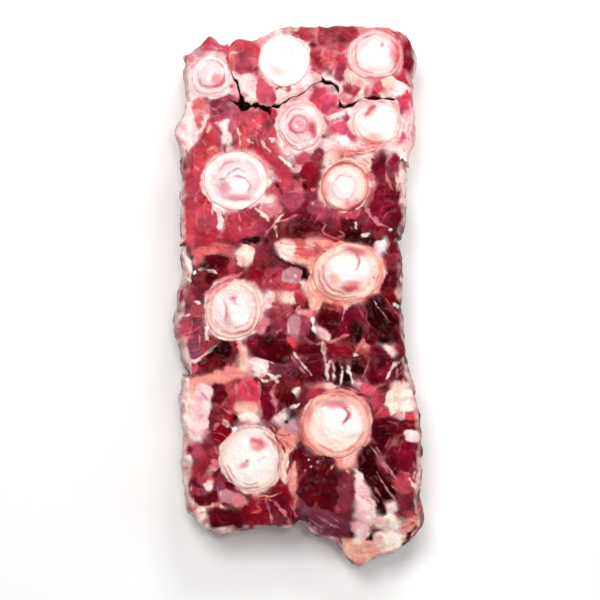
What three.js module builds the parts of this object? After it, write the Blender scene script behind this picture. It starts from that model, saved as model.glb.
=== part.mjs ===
// Raw oxtail: eleven cross cuts of tail, stood on end and pressed side by side into one block.
// Each cut is a sleeve of muscle and fat round its own vertebra, which runs through it from
// cut face to cut face. Units are millimetres, +Z is up, and the cut faces look up and down.
import * as THREE from 'three';

// How the cuts stand and how closely they press together.
const CUT_HEIGHT = 45;
const TOUCH_GAP = 0.4;
const BONE_GAP = 0.35;
const CORNER_POWER = 24;

// The cut face: a collar of fat round the bone, swelling muscle, and fat seams between muscles.
//   FACE_SHARES  where its inner rings lie, from the bone (0) to the rim (1)
const FACE_SHARES = [0.18, 0.5, 0.8];
const COLLAR_DIP = 0.7;
const MUSCLE_SWELL = 1.5;
const SEAM_DEPTH = 2.2;
const WALL_FURROW = 0.8;

// The rim of a cut is tight where it meets a neighbour, and rolls over wide where it is open.
const TOUCH_ROLL = 1.7;
const OPEN_ROLL = 4.2;
const ROLL_HEIGHT = 4;
const ROLL_SHARE = 0.45;
const RIM_DROP = 1.2;
const OPEN_BULGE = 1.6;

// The vertebra: a disc at each end, proud of the meat, and a waist between them.
//   DISC_PROFILE  shares of the disc's radius, and their heights above the cut face
const DISC_CROWN = 2.4;
const DISC_PROFILE = [[0.45, 2.1], [0.7, 0.6], [0.88, 1.1], [1, 0]];
const DISC_BEVEL = { share: 0.85, height: 1.1 };
const BONE_LIFT = 0.4;
const WAIST = 0.87;

// Mesh fineness.
const SEGMENT_LENGTH = 5.5;
const BONE_SEGMENTS = 20;

// A wall whose cosine to a direction is under this is never met in that direction.
const LEAST_FACING = 1e-3;

// A corner this near a fat seam, in radians, needs no points of its own.
const CORNER_CLEARANCE = 0.1;
const CORNER_SLACK = 0.01;

// The cuts, from the thin end of the tail at the back to the thick end at the front.
//   bone         middle of the vertebra, and its half width and half depth
//   seed, girth  middle and radius of the circle that presses against its neighbours' circles
//   top          how far this cut face stands above the common height
//   lean         slope of the cut face along X and Y
//   open         outward faces of the block: bearing in degrees from +X, distance from the bone
//   seams        bearings of the fat seams that part the muscles round the bone
const CUTS = [
  {
    name: 'a', bone: { centre: [-43.8, 108.4], half: [9.3, 10] }, seed: [-34.5, 104.9], girth: 27.5,
    top: 0.5, lean: [0, 0.03], open: [[180, 14], [90, 14.5]], seams: [35, 120, 215, 300],
  },
  {
    name: 'b', bone: { centre: [-7.3, 116.4], half: [12.5, 12.5] }, seed: [-9.5, 111.4], girth: 35.6,
    top: 1.5, lean: [0.02, 0], open: [[90, 16.5], [115, 16]],
    seams: [5, 40, 75, 150, 195, 240, 290, 330],
  },
  {
    name: 'c', bone: { centre: [38, 119.2], half: [13.8, 12] }, seed: [28, 111.4], girth: 34.3,
    top: 0.8, lean: [-0.03, 0.02], open: [[90, 14.4], [0, 19.8], [45, 18.5]],
    seams: [60, 150, 185, 220, 255, 290, 330],
  },
  {
    name: 'd', bone: { centre: [1, 83.7], half: [11.2, 11.4] }, seed: [8, 82.9], girth: 37.4,
    top: -0.5, lean: [0.02, -0.02], open: [], seams: [20, 75, 200, 320],
  },
  {
    name: 'e', bone: { centre: [39.2, 85], half: [11.8, 10.4] }, seed: [27, 82.4], girth: 35.7,
    top: 0, lean: [0.02, 0], open: [[0, 18.6]], seams: [50, 150, 180, 215, 290, 330],
  },
  {
    name: 'f', bone: { centre: [-31.3, 56.4], half: [15.8, 14.2] }, seed: [-33, 62.4], girth: 42.5,
    top: 1, lean: [-0.02, -0.02], open: [[180, 28]],
    seams: [20, 50, 75, 105, 150, 200, 250, 300, 340],
  },
  {
    name: 'g', bone: { centre: [23.2, 53.7], half: [12, 12.4] }, seed: [20, 47.9], girth: 43,
    top: -1, lean: [0.03, 0.02], open: [[-2, 30]],
    seams: [20, 60, 110, 155, 185, 210, 245, 285, 325],
  },
  {
    name: 'h', bone: { centre: [24.5, 10.2], half: [17, 15] }, seed: [22, 5.9], girth: 43.3,
    top: 1.2, lean: [0, 0.03], open: [[3, 26.6]],
    seams: [35, 75, 140, 175, 215, 245, 275, 300, 335],
  },
  {
    name: 'i', bone: { centre: [-32.5, -8], half: [14, 14.4] }, seed: [-26, -4.6], girth: 41.2,
    top: 0, lean: [0.02, 0.02], open: [[180, 28.8], [170, 28.7], [-158, 33]],
    seams: [0, 35, 75, 110, 160, 195, 235, 275, 325],
  },
  {
    name: 'j', bone: { centre: [19, -65.4], half: [16.8, 16] }, seed: [24.5, -83.6], girth: 56,
    top: 0.8, lean: [-0.01, 0.02],
    open: [[-2, 43.1], [16, 41.6], [-90, 70.6], [-62, 68.9], [-48, 67.4], [-120, 54.2]],
    seams: [22, 55, 85, 110, 150, 190, 235, 265, 285, 305, 335],
    slump: { bearing: -84, from: 44, steepness: 0.5 },
  },
  {
    name: 'k', bone: { centre: [-24, -83], half: [15.2, 16] }, seed: [-21, -86.1], girth: 51.7,
    top: 0.6, lean: [0.02, 0.03], open: [[180, 35], [-90, 37.3], [-135, 41.5]],
    seams: [15, 62, 80, 110, 150, 200, 235, 265, 290, 315],
  },
];

// Extra width of the dark cracks that stand open between some cuts.
const CRACKS = { 'a-b': 1.4, 'a-f': 0.6, 'b-f': 3.4, 'b-d': 1.4, 'c-d': 2.2, 'c-e': 1.6 };

const radians = THREE.MathUtils.degToRad;
const FULL_TURN = 2 * Math.PI;
const NO_ROLL = () => 0;

function crackBetween(one, other) {
  return CRACKS[[one, other].sort().join('-')] ?? 0;
}

// The upright planes that bound a cut, each as a bearing and a distance from its bone's centre.
// A plane between two cuts lies where circles of their girths press against each other.
function wallsOf(cut) {
  const open = cut.open.map(([degrees, distance]) => ({
    bearing: radians(degrees), distance, open: true,
  }));
  const boneX = cut.bone.centre[0] - cut.seed[0];
  const boneY = cut.bone.centre[1] - cut.seed[1];
  const shared = CUTS.filter((other) => other !== cut).map((other) => {
    const dx = other.seed[0] - cut.seed[0];
    const dy = other.seed[1] - cut.seed[1];
    const apart = Math.hypot(dx, dy);
    const fromSeed = apart / 2 + (cut.girth ** 2 - other.girth ** 2) / (2 * apart);
    const fromBone = fromSeed - (boneX * dx + boneY * dy) / apart;
    const gap = TOUCH_GAP + crackBetween(cut.name, other.name);
    return { bearing: Math.atan2(dy, dx), distance: fromBone - gap / 2, open: false };
  });
  return [...open, ...shared];
}

// Distance from the bone's centre to the cut's side at an angle, with its corners rounded.
// roll(wall) moves each wall inwards.
function reachOf(walls, angle, roll) {
  let sum = 0;
  for (const wall of walls) {
    const facing = Math.cos(angle - wall.bearing);
    if (facing > LEAST_FACING) sum += (facing / (wall.distance - roll(wall))) ** CORNER_POWER;
  }
  return sum ** (-1 / CORNER_POWER);
}

function ellipseRadius([halfX, halfY], angle) {
  return (halfX * halfY) / Math.hypot(halfY * Math.cos(angle), halfX * Math.sin(angle));
}

// Bearings of the corners of a cut, where two of its walls meet.
function cornersOf(walls) {
  const corners = [];
  for (const [index, one] of walls.entries()) {
    for (const other of walls.slice(index + 1)) {
      const turn = Math.sin(other.bearing - one.bearing);
      if (Math.abs(turn) < LEAST_FACING) continue;
      const sines = one.distance * Math.sin(other.bearing) - other.distance * Math.sin(one.bearing);
      const cosines = other.distance * Math.cos(one.bearing) - one.distance * Math.cos(other.bearing);
      const [x, y] = [sines / turn, cosines / turn];
      const holds = ({ bearing, distance }) =>
        x * Math.cos(bearing) + y * Math.sin(bearing) < distance + CORNER_SLACK;
      if (walls.every(holds)) corners.push(Math.atan2(y, x));
    }
  }
  return corners;
}

// Where the points of every ring of a cut lie: one on each seam, where seam is 1, one on each
// corner and the others spread evenly between them, where it is 0.
function spokesOf(cut, walls) {
  const seams = cut.seams.map((degrees) => ({ angle: radians(degrees), seam: 1 }));
  const apart = (one, other) => Math.abs(Math.sin((one - other) / 2)) * 2;
  const corners = cornersOf(walls)
    .filter((angle) => seams.every((seam) => apart(seam.angle, angle) > CORNER_CLEARANCE))
    .map((angle) => ({ angle: (angle + FULL_TURN) % FULL_TURN, seam: 0 }));
  const stops = [...seams, ...corners].sort((one, other) => one.angle - other.angle);
  return stops.flatMap(({ angle: start, seam }, index) => {
    const end = stops[index + 1]?.angle ?? stops[0].angle + FULL_TURN;
    const sideLength = (end - start) * reachOf(walls, (start + end) / 2, NO_ROLL);
    const count = Math.ceil(sideLength / SEGMENT_LENGTH);
    return Array.from({ length: count }, (_, step) => ({
      angle: start + ((end - start) * step) / count,
      seam: step === 0 ? seam : 0,
    }));
  });
}

// Height of the flat of the cut face at a point, given from the bone's centre.
function faceHeight(cut, x, y) {
  let height = CUT_HEIGHT + cut.top + cut.lean[0] * x + cut.lean[1] * y;
  if (cut.slump) {
    const bearing = radians(cut.slump.bearing);
    const along = x * Math.cos(bearing) + y * Math.sin(bearing);
    height -= cut.slump.steepness * Math.max(0, along - cut.slump.from);
  }
  return height;
}

// Joins rings of points, each a full turn, into a closed skin. A ring of one point is a pole.
function skinOf(rings, closedLoop) {
  const starts = [];
  const positions = [];
  for (const ring of rings) {
    starts.push(positions.length / 3);
    for (const point of ring) positions.push(...point);
  }
  const indices = [];
  const bands = closedLoop ? rings.length : rings.length - 1;
  for (let band = 0; band < bands; band += 1) {
    const next = (band + 1) % rings.length;
    const count = Math.max(rings[band].length, rings[next].length);
    const vertex = (ring, step) => starts[ring] + (step % rings[ring].length);
    for (let step = 0; step < count; step += 1) {
      if (rings[band].length > 1) {
        indices.push(vertex(band, step), vertex(next, step), vertex(band, step + 1));
      }
      if (rings[next].length > 1) {
        indices.push(vertex(band, step + 1), vertex(next, step), vertex(next, step + 1));
      }
    }
  }
  const geometry = new THREE.BufferGeometry();
  geometry.setAttribute('position', new THREE.Float32BufferAttribute(positions, 3));
  geometry.setIndex(indices);
  geometry.computeVertexNormals();
  return geometry;
}

// The sleeve of muscle and fat. Its rings run from the bone over the cut face, down the side
// and back under the foot to the bone, and then up the bore.
function muscleGeometry(cut) {
  const walls = wallsOf(cut);
  const spokes = spokesOf(cut, walls);
  const rimRoll = (wall) => (wall.open ? OPEN_ROLL : TOUCH_ROLL);
  const bellyRoll = (wall) => (wall.open ? -OPEN_BULGE : 0);
  const boreRadius = (angle) => ellipseRadius(cut.bone.half, angle) + BONE_GAP;
  // A thin collar rolls over less than a thick one.
  const rimRadius = (angle) => {
    const side = reachOf(walls, angle, NO_ROLL);
    const thinnest = side - (side - boreRadius(angle)) * ROLL_SHARE;
    return Math.max(thinnest, reachOf(walls, angle, rimRoll));
  };
  const ring = (radiusAt, heightAt) =>
    spokes.map(({ angle, seam }) => {
      const radius = radiusAt(angle, seam);
      const x = radius * Math.cos(angle);
      const y = radius * Math.sin(angle);
      return [x, y, heightAt(x, y, seam)];
    });
  const boreAt = (scale, height) =>
    ring((angle) => ellipseRadius(cut.bone.half, angle) * scale + BONE_GAP, () => height);
  const sideAt = (roll, heightAt) =>
    ring((angle, seam) => reachOf(walls, angle, roll) - WALL_FURROW * seam, heightAt);
  // share is 0 at the bone and 1 at the rim of the cut face.
  const faceAt = (share, lift) => {
    const swell = Math.sin(Math.PI * share);
    return ring(
      (angle, seam) =>
        THREE.MathUtils.lerp(boreRadius(angle), rimRadius(angle) - WALL_FURROW * seam, share),
      (x, y, seam) => faceHeight(cut, x, y) + swell * (MUSCLE_SWELL - SEAM_DEPTH * seam) + lift,
    );
  };
  const rings = [
    boreAt(WAIST, CUT_HEIGHT / 2),
    faceAt(0, -COLLAR_DIP),
    ...FACE_SHARES.map((share) => faceAt(share, 0)),
    faceAt(1, -RIM_DROP),
    sideAt(NO_ROLL, (x, y) => faceHeight(cut, x, y) - RIM_DROP - ROLL_HEIGHT),
    sideAt(bellyRoll, () => CUT_HEIGHT / 2),
    sideAt(NO_ROLL, () => ROLL_HEIGHT),
    ring(rimRadius, () => 0),
    boreAt(1, 0),
  ];
  return skinOf(rings, true);
}

// The vertebra, from the crown of its upper disc down its waisted side to the lower disc.
function boneGeometry(cut) {
  const ring = (scale, heightAt) =>
    Array.from({ length: BONE_SEGMENTS }, (_, step) => {
      const angle = (step / BONE_SEGMENTS) * FULL_TURN;
      const radius = ellipseRadius(cut.bone.half, angle) * scale;
      const x = radius * Math.cos(angle);
      const y = radius * Math.sin(angle);
      return [x, y, heightAt(x, y)];
    });
  const discAt = ([share, lift]) => ring(share, (x, y) => faceHeight(cut, x, y) + lift);
  const rings = [
    [[0, 0, faceHeight(cut, 0, 0) + DISC_CROWN]],
    ...DISC_PROFILE.map(discAt),
    ring(WAIST, () => CUT_HEIGHT / 2),
    ring(1, () => BONE_LIFT + DISC_BEVEL.height),
    ring(DISC_BEVEL.share, () => BONE_LIFT),
    [[0, 0, BONE_LIFT]],
  ];
  return skinOf(rings, false);
}

const muscle = new THREE.MeshStandardMaterial({ color: 0x8a1c2c, roughness: 0.28, metalness: 0 });
const vertebra = new THREE.MeshStandardMaterial({ color: 0xfbe4de, roughness: 0.35, metalness: 0 });

const oxtail = new THREE.Group();
for (const cut of CUTS) {
  const piece = new THREE.Group();
  piece.position.set(...cut.bone.centre, 0);
  const meat = new THREE.Mesh(muscleGeometry(cut), muscle);
  meat.name = `muscle_${cut.name}`;
  const bone = new THREE.Mesh(boneGeometry(cut), vertebra);
  bone.name = `vertebra_${cut.name}`;
  piece.add(meat, bone);
  oxtail.add(piece);
}

// The origin is the middle of the block's footprint, on the surface that it stands on.
const box = new THREE.Box3().setFromObject(oxtail);
const middle = box.getCenter(new THREE.Vector3());
for (const piece of oxtail.children) {
  piece.position.x -= middle.x;
  piece.position.y -= middle.y;
}

export default oxtail;
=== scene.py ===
"""Raw oxtail: eleven cross cuts stood on end and pressed into one block, dressed as fresh meat.

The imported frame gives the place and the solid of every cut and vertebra. Lengths in this file
are millimetres in the part's frame unless a name says otherwise; meshes are made in metres.
"""
import logging
import math
from dataclasses import dataclass
from enum import Enum

import bpy
import numpy as np
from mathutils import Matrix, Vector


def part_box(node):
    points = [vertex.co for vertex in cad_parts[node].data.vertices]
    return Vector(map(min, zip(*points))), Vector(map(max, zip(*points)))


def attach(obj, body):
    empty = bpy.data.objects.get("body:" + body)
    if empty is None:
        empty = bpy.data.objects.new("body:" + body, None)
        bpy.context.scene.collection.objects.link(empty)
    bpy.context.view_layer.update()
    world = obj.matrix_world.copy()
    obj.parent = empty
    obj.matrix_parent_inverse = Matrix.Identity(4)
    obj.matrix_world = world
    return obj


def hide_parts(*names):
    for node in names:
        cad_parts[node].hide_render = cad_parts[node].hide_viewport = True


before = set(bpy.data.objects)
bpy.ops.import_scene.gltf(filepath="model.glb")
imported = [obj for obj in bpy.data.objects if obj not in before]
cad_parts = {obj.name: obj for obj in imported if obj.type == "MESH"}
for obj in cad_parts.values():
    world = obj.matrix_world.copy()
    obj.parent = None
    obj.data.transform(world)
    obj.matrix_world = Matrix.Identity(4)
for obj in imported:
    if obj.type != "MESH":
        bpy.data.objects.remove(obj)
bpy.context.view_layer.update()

Array = np.ndarray
LOG = logging.getLogger("oxtail")
METRE = 1000.0
FULL_TURN = 2 * math.pi

# Where the tissue map's origin lies in the part's frame.
MAP_ORIGIN = np.array([-0.33, -0.39, 0.0])


def to_linear(colour: str) -> Array:
    """Turn an sRGB hex colour into linear red, green and blue."""
    coded = np.array([int(colour[start:start + 2], 16) / 255 for start in (1, 3, 5)])
    return np.where(coded <= 0.04045, coded / 12.92, ((coded + 0.055) / 1.055) ** 2.4)


class Tissue(Enum):
    """What a spot of a cut face is made of, with its colour as sRGB hex; the white also serves as
    painted highlight, and the darkest as painted shade.
    """

    ROSE = "#bb414e"
    CHERRY = "#a92e3f"
    CRIMSON = "#7d0b1b"
    GARNET = "#700a21"
    BURGUNDY = "#540510"
    # Near-black flesh, and also painted shade: the colour laid into creases, cracks and hollows.
    NIGHT = "#2a0002"
    PLUM = "#7a2531"
    DUSK = "#4a0611"
    MAGENTA = "#a43e4f"
    VIOLET = "#723548"
    RASPBERRY = "#cb4059"
    BLUSH = "#d1747c"
    SHELL = "#f6d4cf"
    CREAM = "#f4d8c5"
    TALLOW = "#fbeed9"
    # Painted highlight as well as white fat and gristle: this colour also stands for glints of the wet
    # surface and lightens sloping rims.
    WHITE = "#f8ece8"
    PEACH = "#e99684"
    APRICOT = "#eab49b"
    CORAL = "#cf5a58"
    LILAC = "#b47f88"

    @property
    def linear(self) -> Array:
        """Give the colour as linear red, green and blue."""
        return to_linear(self.value)

    @property
    def fat(self) -> float:
        """Give the share of it that is fat or gristle."""
        return FAT_SHARE.get(self, 0.0)

    @property
    def stand(self) -> float:
        """Give how far it stands above the cut face."""
        return STAND.get(self, 0.0)


(ROSE, CHERRY, CRIMSON, GARNET, BURGUNDY, NIGHT, PLUM, DUSK, MAGENTA, VIOLET, RASPBERRY, BLUSH,
 SHELL, CREAM, TALLOW, WHITE, PEACH, APRICOT, CORAL, LILAC) = Tissue

# Tissues that are fat or gristle, wholly or in part. The others are lean.
FAT_SHARE = {
    BLUSH: 0.7, SHELL: 1.0, CREAM: 1.0, TALLOW: 1.0, WHITE: 1.0, PEACH: 0.9,
    CORAL: 0.6, LILAC: 0.6, APRICOT: 1.0,
}

# Tissues that stand above the cut face or sink below it. The others lie level with it.
STAND = {
    NIGHT: -1.7, DUSK: -0.6, BURGUNDY: -0.4, CREAM: 0.8, TALLOW: 0.8, PEACH: 0.6,
    SHELL: 0.4, WHITE: 0.7, CORAL: 0.4, APRICOT: 0.6,
}

Line = tuple[tuple[float, float], ...]


@dataclass(frozen=True)
class Lobe:
    """An oval mass of one tissue in the cut face.

    Args:
        x, y: its middle.
        long, wide: half its length and half its width.
        tissue: what it is.
        turn: bearing of its length in degrees from +X.
    """

    x: float
    y: float
    long: float
    wide: float
    tissue: Tissue
    turn: float = 0.0


@dataclass(frozen=True)
class Strand:
    """A band of one tissue along a line of points, thinner towards its ends."""

    line: Line
    width: float
    tissue: Tissue


def lobes(*rows: tuple) -> tuple[Lobe, ...]:
    """Make a lobe from each row of its fields."""
    return tuple(Lobe(*row) for row in rows)


def strands(*rows: tuple) -> tuple[Strand, ...]:
    """Make a strand from each row of its width, its tissue, and x and y of each point."""
    return tuple(Strand(tuple(zip(row[2::2], row[3::2])), *row[:2]) for row in rows)


# The lobes of each tissue: x, y, half length, half width, and bearing where it isn't 0.
LOBE_ROWS = {
    RASPBERRY: (
        (-44.4, 125.2, 4.4, 3.7, -15), (12.6, 97, 6.6, 6), (18, 91.4, 3, 1.9, -12),
        (21.8, 82, 4.4, 2.7, -14), (53.9, 96.4, 3.4, 4.7, 12), (51.2, 79, 1.8, 4, -20),
        (-25, -47.8, 5.4, 6.8),
    ),
    BLUSH: (
        (-55, 116.8, 1.9, 1.7), (-4, 132, 3.2, 2.2), (7.6, 131.4, 1.6, 2.4),
        (23.6, 98.4, 2.5, 1.8, -20), (17, 85, 3, 1.4, 10), (56.8, 86, 1.1, 5), (-46, 90.8, 1.7, 2.4),
        (-14, 42.4, 3.6, 2.4), (-0.4, 63.4, 1.9, 1.3, 10), (-19.6, -16, 3, 2.6),
        (-42.8, -87.4, 2.5, 1.7, -35), (-30.6, -103, 2, 1.6, 30), (51, -61.2, 2.3, 2.2),
        (56.4, -50, 1.6, 3.4),
    ),
    ROSE: (
        (-37, 121.3, 2.2, 1), (-26.6, 119.4, 6.6, 7.4), (-33.4, 123.6, 2.5, 2.2),
        (-16.8, 101.4, 6.4, 4.4, -68), (2.4, 129.4, 5.8, 2.3, 4), (7.2, 119, 1.6, 5),
        (14.4, 119.8, 3.6, 4.2), (21.4, 117.4, 3, 2.4), (34, 103.2, 1.8, 3, -10),
        (37.8, 103, 1.2, 1.9, 20), (41.6, 103.2, 2.6, 1.4, -30), (16.8, 81.6, 2.4, 1.7, 10),
        (28.6, 78.4, 3.6, 2.2, -38), (-43.6, 82.4, 4.6, 2.4, -66), (-42.2, 76, 3.6, 2.4, -60),
        (-27.4, 84.6, 3.2, 7), (-20.6, 89, 4, 2.2, -20), (-21, 78.4, 5, 3, -35),
        (-13.4, 80, 3, 4.4, 10), (-48.4, 72.4, 3.6, 6.4, -24), (-50.4, 61.6, 1.9, 5),
        (-47.6, 37.5, 5.8, 7, 8), (-54, 33.5, 2.2, 8), (-33, 36.6, 3.8, 4.4), (-16.3, 50.6, 2.5, 2),
        (1.4, 69, 3, 2.6), (-3, 3.6, 3.6, 1.7, 12), (0.9, -1.6, 2, 2.4), (-51, -9, 2.6, 3),
        (-52, -38.6, 3, 2), (-4.4, -25, 2.4, 2.2), (-47.4, -91.8, 3, 1.4), (56.4, -61, 2, 1.9, -15),
        (34, -48.6, 3, 1.6, -20), (43.6, -59.6, 2.6, 1.6, 20),
    ),
    PLUM: (
        (-47, 96.8, 3, 1.4, -20), (-40.4, 94.8, 3.4, 1.8), (-15, 29.6, 3.4, 2, 30),
        (9.2, 68.4, 3, 4.4, -12), (6.8, 48.6, 3.2, 2.4), (18.4, 35, 3.4, 2.8), (33, 38.6, 2.2, 3.6),
        # The lobe at 17.6, -6.6 is a painted sheen on the burgundy round it.
        (39, 27.4, 2.9, 1.9, -35), (17.6, -6.6, 4, 1.9), (46.2, 15.4, 3.6, 3.4),
        (-49, 6.6, 4.6, 3.4, 40), (-34, -28, 2.6, 4.4), (-9.6, -9, 6.2, 4, -20),
        (-17.6, 17.6, 3.6, 4.4), (-41.4, -60.4, 3.2, 5.4, -12), (-45, -75, 2.3, 2.6),
        (-37, -92, 3, 2.6), (-9.6, -113.6, 3.6, 3), (-6, -43.6, 4, 2.6), (1.8, -50.4, 2.6, 3.8),
        (55, -103.6, 5, 4.4, 20), (23.8, -101, 3.4, 11),
    ),
    MAGENTA: (
        (-34.6, 96.8, 3.2, 2.2), (-25.4, 112.2, 5.2, 2.2), (12.4, 112.8, 2.6, 1.1, -35),
        (21.2, 112, 2.6, 4.8, -14), (24.4, 87.2, 1.3, 1.1), (52.2, 91, 1.2, 1.8), (-38, 91, 4.4, 3.2),
        (-39.8, 81.6, 0.9, 1.8), (-33.8, 84.6, 1.1, 2.2), (-32.6, 76.6, 1.2, 2.8), (-3, 48.4, 5.6, 6.6),
        (10.4, 42, 5.6, 2.6, -25), (18, 40.4, 4, 1.6), (27, 40, 2.6, 2.6), (-12, 9, 3.8, 3),
        (-14.6, 4.6, 2.6, 2.4), (3, -15.4, 2.4, 4.6), (-33.4, 14.6, 1.6, 3), (-56.4, -4, 3.2, 5.4),
        (-56, -17, 3, 5, 8), (-42.4, -79, 2.8, 3.6), (-49, -81, 2.9, 4.2), (-50, -98, 2.8, 1.9),
        (-34, -46.4, 1.8, 3.2), (52, -95.4, 4.4, 4.6, 30), (56.6, -109.6, 3.8, 2, 20),
    ),
    LILAC: (
        (-54, 121, 1.3, 0.6), (-48, 120.6, 1.4, 0.5), (16.6, 103.4, 1.5, 1.7), (-36, 72.6, 3, 1.6),
        (-14.6, 59.2, 2.3, 1.4, -30), (-3.6, 8.8, 4.6, 3.4), (-3, -16.6, 2.3, 4.2),
        (-35, -101.4, 2.8, 1.6, -25), (-3.2, -66.8, 2.4, 3.2, -20), (28.4, -46, 2.6, 1.3, -30),
    ),
    SHELL: (
        (-52.6, 104, 4, 7), (-33.6, 105, 2.4, 3.4), (-25.6, 103, 3.5, 6.2), (-2.6, 102, 2.2, 3.6, -20),
        (-22, 128.4, 4, 1.6, 20), (5, 107, 5, 2.6, 10), (-10, 96, 3, 1.4, 20), (13, 74, 3, 3),
        (53.5, 84.6, 2, 5), (53, 72.4, 5, 3), (35, 73.4, 9, 1.8), (-55.6, 83, 4.8, 13, -4),
        (45.4, -27.8, 2.8, 1.5, -14), (-16.2, -3.4, 2.1, 2.8, -10), (-20, -36.8, 4, 2.2, -20),
        # The lobe at 56.4, -71 is a painted glint.
        (-49.6, -58.6, 5.8, 14.4, -10), (-45.2, -95.2, 1.4, 2), (56.4, -71, 2.2, 2.2),
        (31, -99, 2.8, 9.4, 13), (34, -109.4, 4.6, 6, 10), (46.4, -107, 3, 2.6, -20),
        (30.4, -119.4, 4.2, 4.4), (59.4, -95, 1.6, 4.6),
    ),
    # White fat and gristle, and painted highlights: glints of the wet surface, and strips that lighten
    # the sloping rims.
    WHITE: (
        (-44, 101, 8, 3, -8), (-14, 130, 6, 3, 20), (51, 102.4, 3.1, 4.2, -10), (18, 88.2, 3.6, 1.4),
        (20.5, 75.6, 4.4, 2.8), (-36.8, 81.4, 2.1, 6, -8), (-40, 41.4, 2.9, 2.1),
        (-39.8, 37, 1.3, 4.8, 4), (53.6, 61, 2.4, 11), (42, 23.6, 1.6, 2.4),
        (12.4, -19.8, 2.6, 1.5, -50), (41, 24, 2.3, 2.6, 30), (-56.6, 9, 1.9, 6), (-57.4, -76, 2.4, 34),
        (-8.4, -62.2, 2.7, 1.7), (-3, -48.2, 2.4, 1.6),
    ),
    CHERRY: (
        (-20.4, 112, 1.5, 1.6), (-14, 97.4, 2.4, 2.4), (19, 128.8, 9.6, 5.2, 4), (12, 128.6, 3.4, 4.4),
        (27.4, 131, 3, 2.6, -20), (9.8, 117.4, 1.9, 4.4, 12), (20.6, 123.6, 4.2, 2.2, 10),
        (26, 102.6, 3.8, 4.2), (51.6, 108.6, 3.8, 3.4, -25), (-15.6, 87.6, 5.4, 3.2, -45),
        (-12, 65.6, 10.2, 3.4, -50), (-53.4, 53, 3.6, 5), (-50.4, 46.4, 4.8, 4.4),
        (-44.4, 29.2, 6, 2.8), (-23.8, 37, 7.2, 5.2), (-32, 29.2, 8, 2.4), (15.6, 26.6, 3.4, 1.2),
        (-48, -87, 3.4, 3), (-33, -54, 1.6, 3.4), (8.6, -49, 4, 1.9, 24), (39.4, -53.6, 3.2, 4.6),
    ),
    CORAL: (
        (-34.6, 115.2, 3, 4.2, -8), (16.6, 113.6, 2.4, 1.8), (-50.6, 92.6, 2.9, 3.4),
        (-50.4, 86.8, 1.7, 3), (-27.6, 75.6, 2.4, 1.8, 20), (-43.4, 71.4, 2.4, 2.2, -20),
        (36.4, 56, 1.4, 3.4), (3, 24.4, 8, 2.2, -8), (2.6, 19.8, 5.6, 2.4, -12),
        (3.8, -9.6, 3.2, 1.5, -12), (31.4, -24.6, 1.4, 2, -40), (33.4, -28.2, 1.3, 1.5),
        (-43.6, 21.2, 6.6, 1.6, 4), (-50, 17, 2.6, 2.4, -30),
    ),
    CREAM: (
        (-8.4, 98.6, 3.6, 2.6, 15), (28.4, 108.2, 5.4, 4.4), (30.8, 101.2, 1.6, 3.4),
        (46, 104.8, 3.1, 4.6, 10), (4.8, 92.8, 3, 2), (-17.3, 46.6, 2.6, 1.4), (15, 68.4, 3.8, 4),
        (34.2, 65.4, 3.5, 5), (-6, 22, 5.4, 4.2, -25), (4.2, 3, 4.6, 1.7, -42),
        (-5.6, -1.6, 3.4, 1.9, -6), (-27, 18, 4.7, 4.9), (-27.4, -32.6, 1.7, 4.4, 12),
        (-7, -86.8, 1.8, 4.6), (-24.6, -62.6, 5.2, 3), (50, -48.6, 2.8, 2.4), (44.6, -53, 2.4, 1.5, 15),
    ),
    CRIMSON: (
        (54.8, 118.4, 2.5, 8.2, 8), (6.2, 60.6, 4, 5, 20), (4.6, 53.6, 2.6, 1.8), (4, 44, 2, 2),
        (34.2, 49, 1.7, 3.4, -25), (-21, 9.6, 4.6, 3.4, -30), (-36.4, 10.6, 3.6, 1.2, 25),
        (-35.8, -61.6, 2.2, 1.8), (-38.2, -70.8, 4.2, 4.8), (-50.6, -93.6, 1.7, 1.7),
        (-22, -108.8, 6.6, 6.2),
    ),
    # Near-black flesh and sunken hollows, the hollows painted near-black as shade.
    NIGHT: (
        (12.8, 78.5, 1.2, 1, -30), (-16.8, 53.2, 1.1, 1), (-22.4, 26.8, 4, 1.5), (27.6, 27.2, 4.8, 2.2),
        (3.6, 9.8, 1.9, 1.9), (29, -19.6, 3.6, 5.2), (38.6, -9.6, 6, 8.6, 22), (35, -3.4, 3.6, 2.4),
        (44.6, -13.4, 3.2, 3.6), (43.8, -21.6, 4.2, 3.4), (35, 26.6, 2.6, 1.6),
        (-39, -29.4, 6.8, 5, 30), (-33, -62.8, 1.5, 1.5), (-38.6, -115.8, 5.4, 2, -8),
        (19.4, -40, 1.2, 5.4), (23.4, -39.6, 1, 5), (29, -39.6, 1.9, 5.4), (-3.4, -61, 2.4, 1.5, 42),
        (34.6, -85.6, 5, 8.6, 14), (41.4, -97, 4.6, 10.6, 28), (40.4, -107.6, 2.6, 3.8),
        (34.9, -123, 1.9, 1.3, 35), (26, -121.8, 1.5, 1.3),
    ),
    PEACH: (
        (24, 70.6, 5.4, 2), (12.6, 25, 3.8, 2, -10), (9, -6, 2.4, 2.2), (-42, -42.2, 11, 2.5, 13),
        (-7, -74.4, 4.4, 5.2, -25), (-3, -94.8, 1.5, 4.2), (15, -46.8, 3.8, 1.7),
        (22.6, -83.2, 4.6, 3.8, -40), (55, -117.4, 5, 2.3, 30),
    ),
    BURGUNDY: (
        (2, 33.6, 8.6, 3.4, 10), (25, 34.4, 3.2, 4), (49.4, 31, 3.4, 3), (15.4, -12.2, 5.4, 6.6),
        (46.6, -2.6, 3.4, 4), (45.4, 5, 4.2, 4.8), (48.4, 24, 3.6, 5), (8, -28, 6, 2.4),
        (36.2, -21.6, 3.6, 4.4), (-41.4, 15.6, 7.2, 3.9), (-43.6, 8, 3, 2), (-44, -36.8, 8, 3.2, 25),
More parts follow.
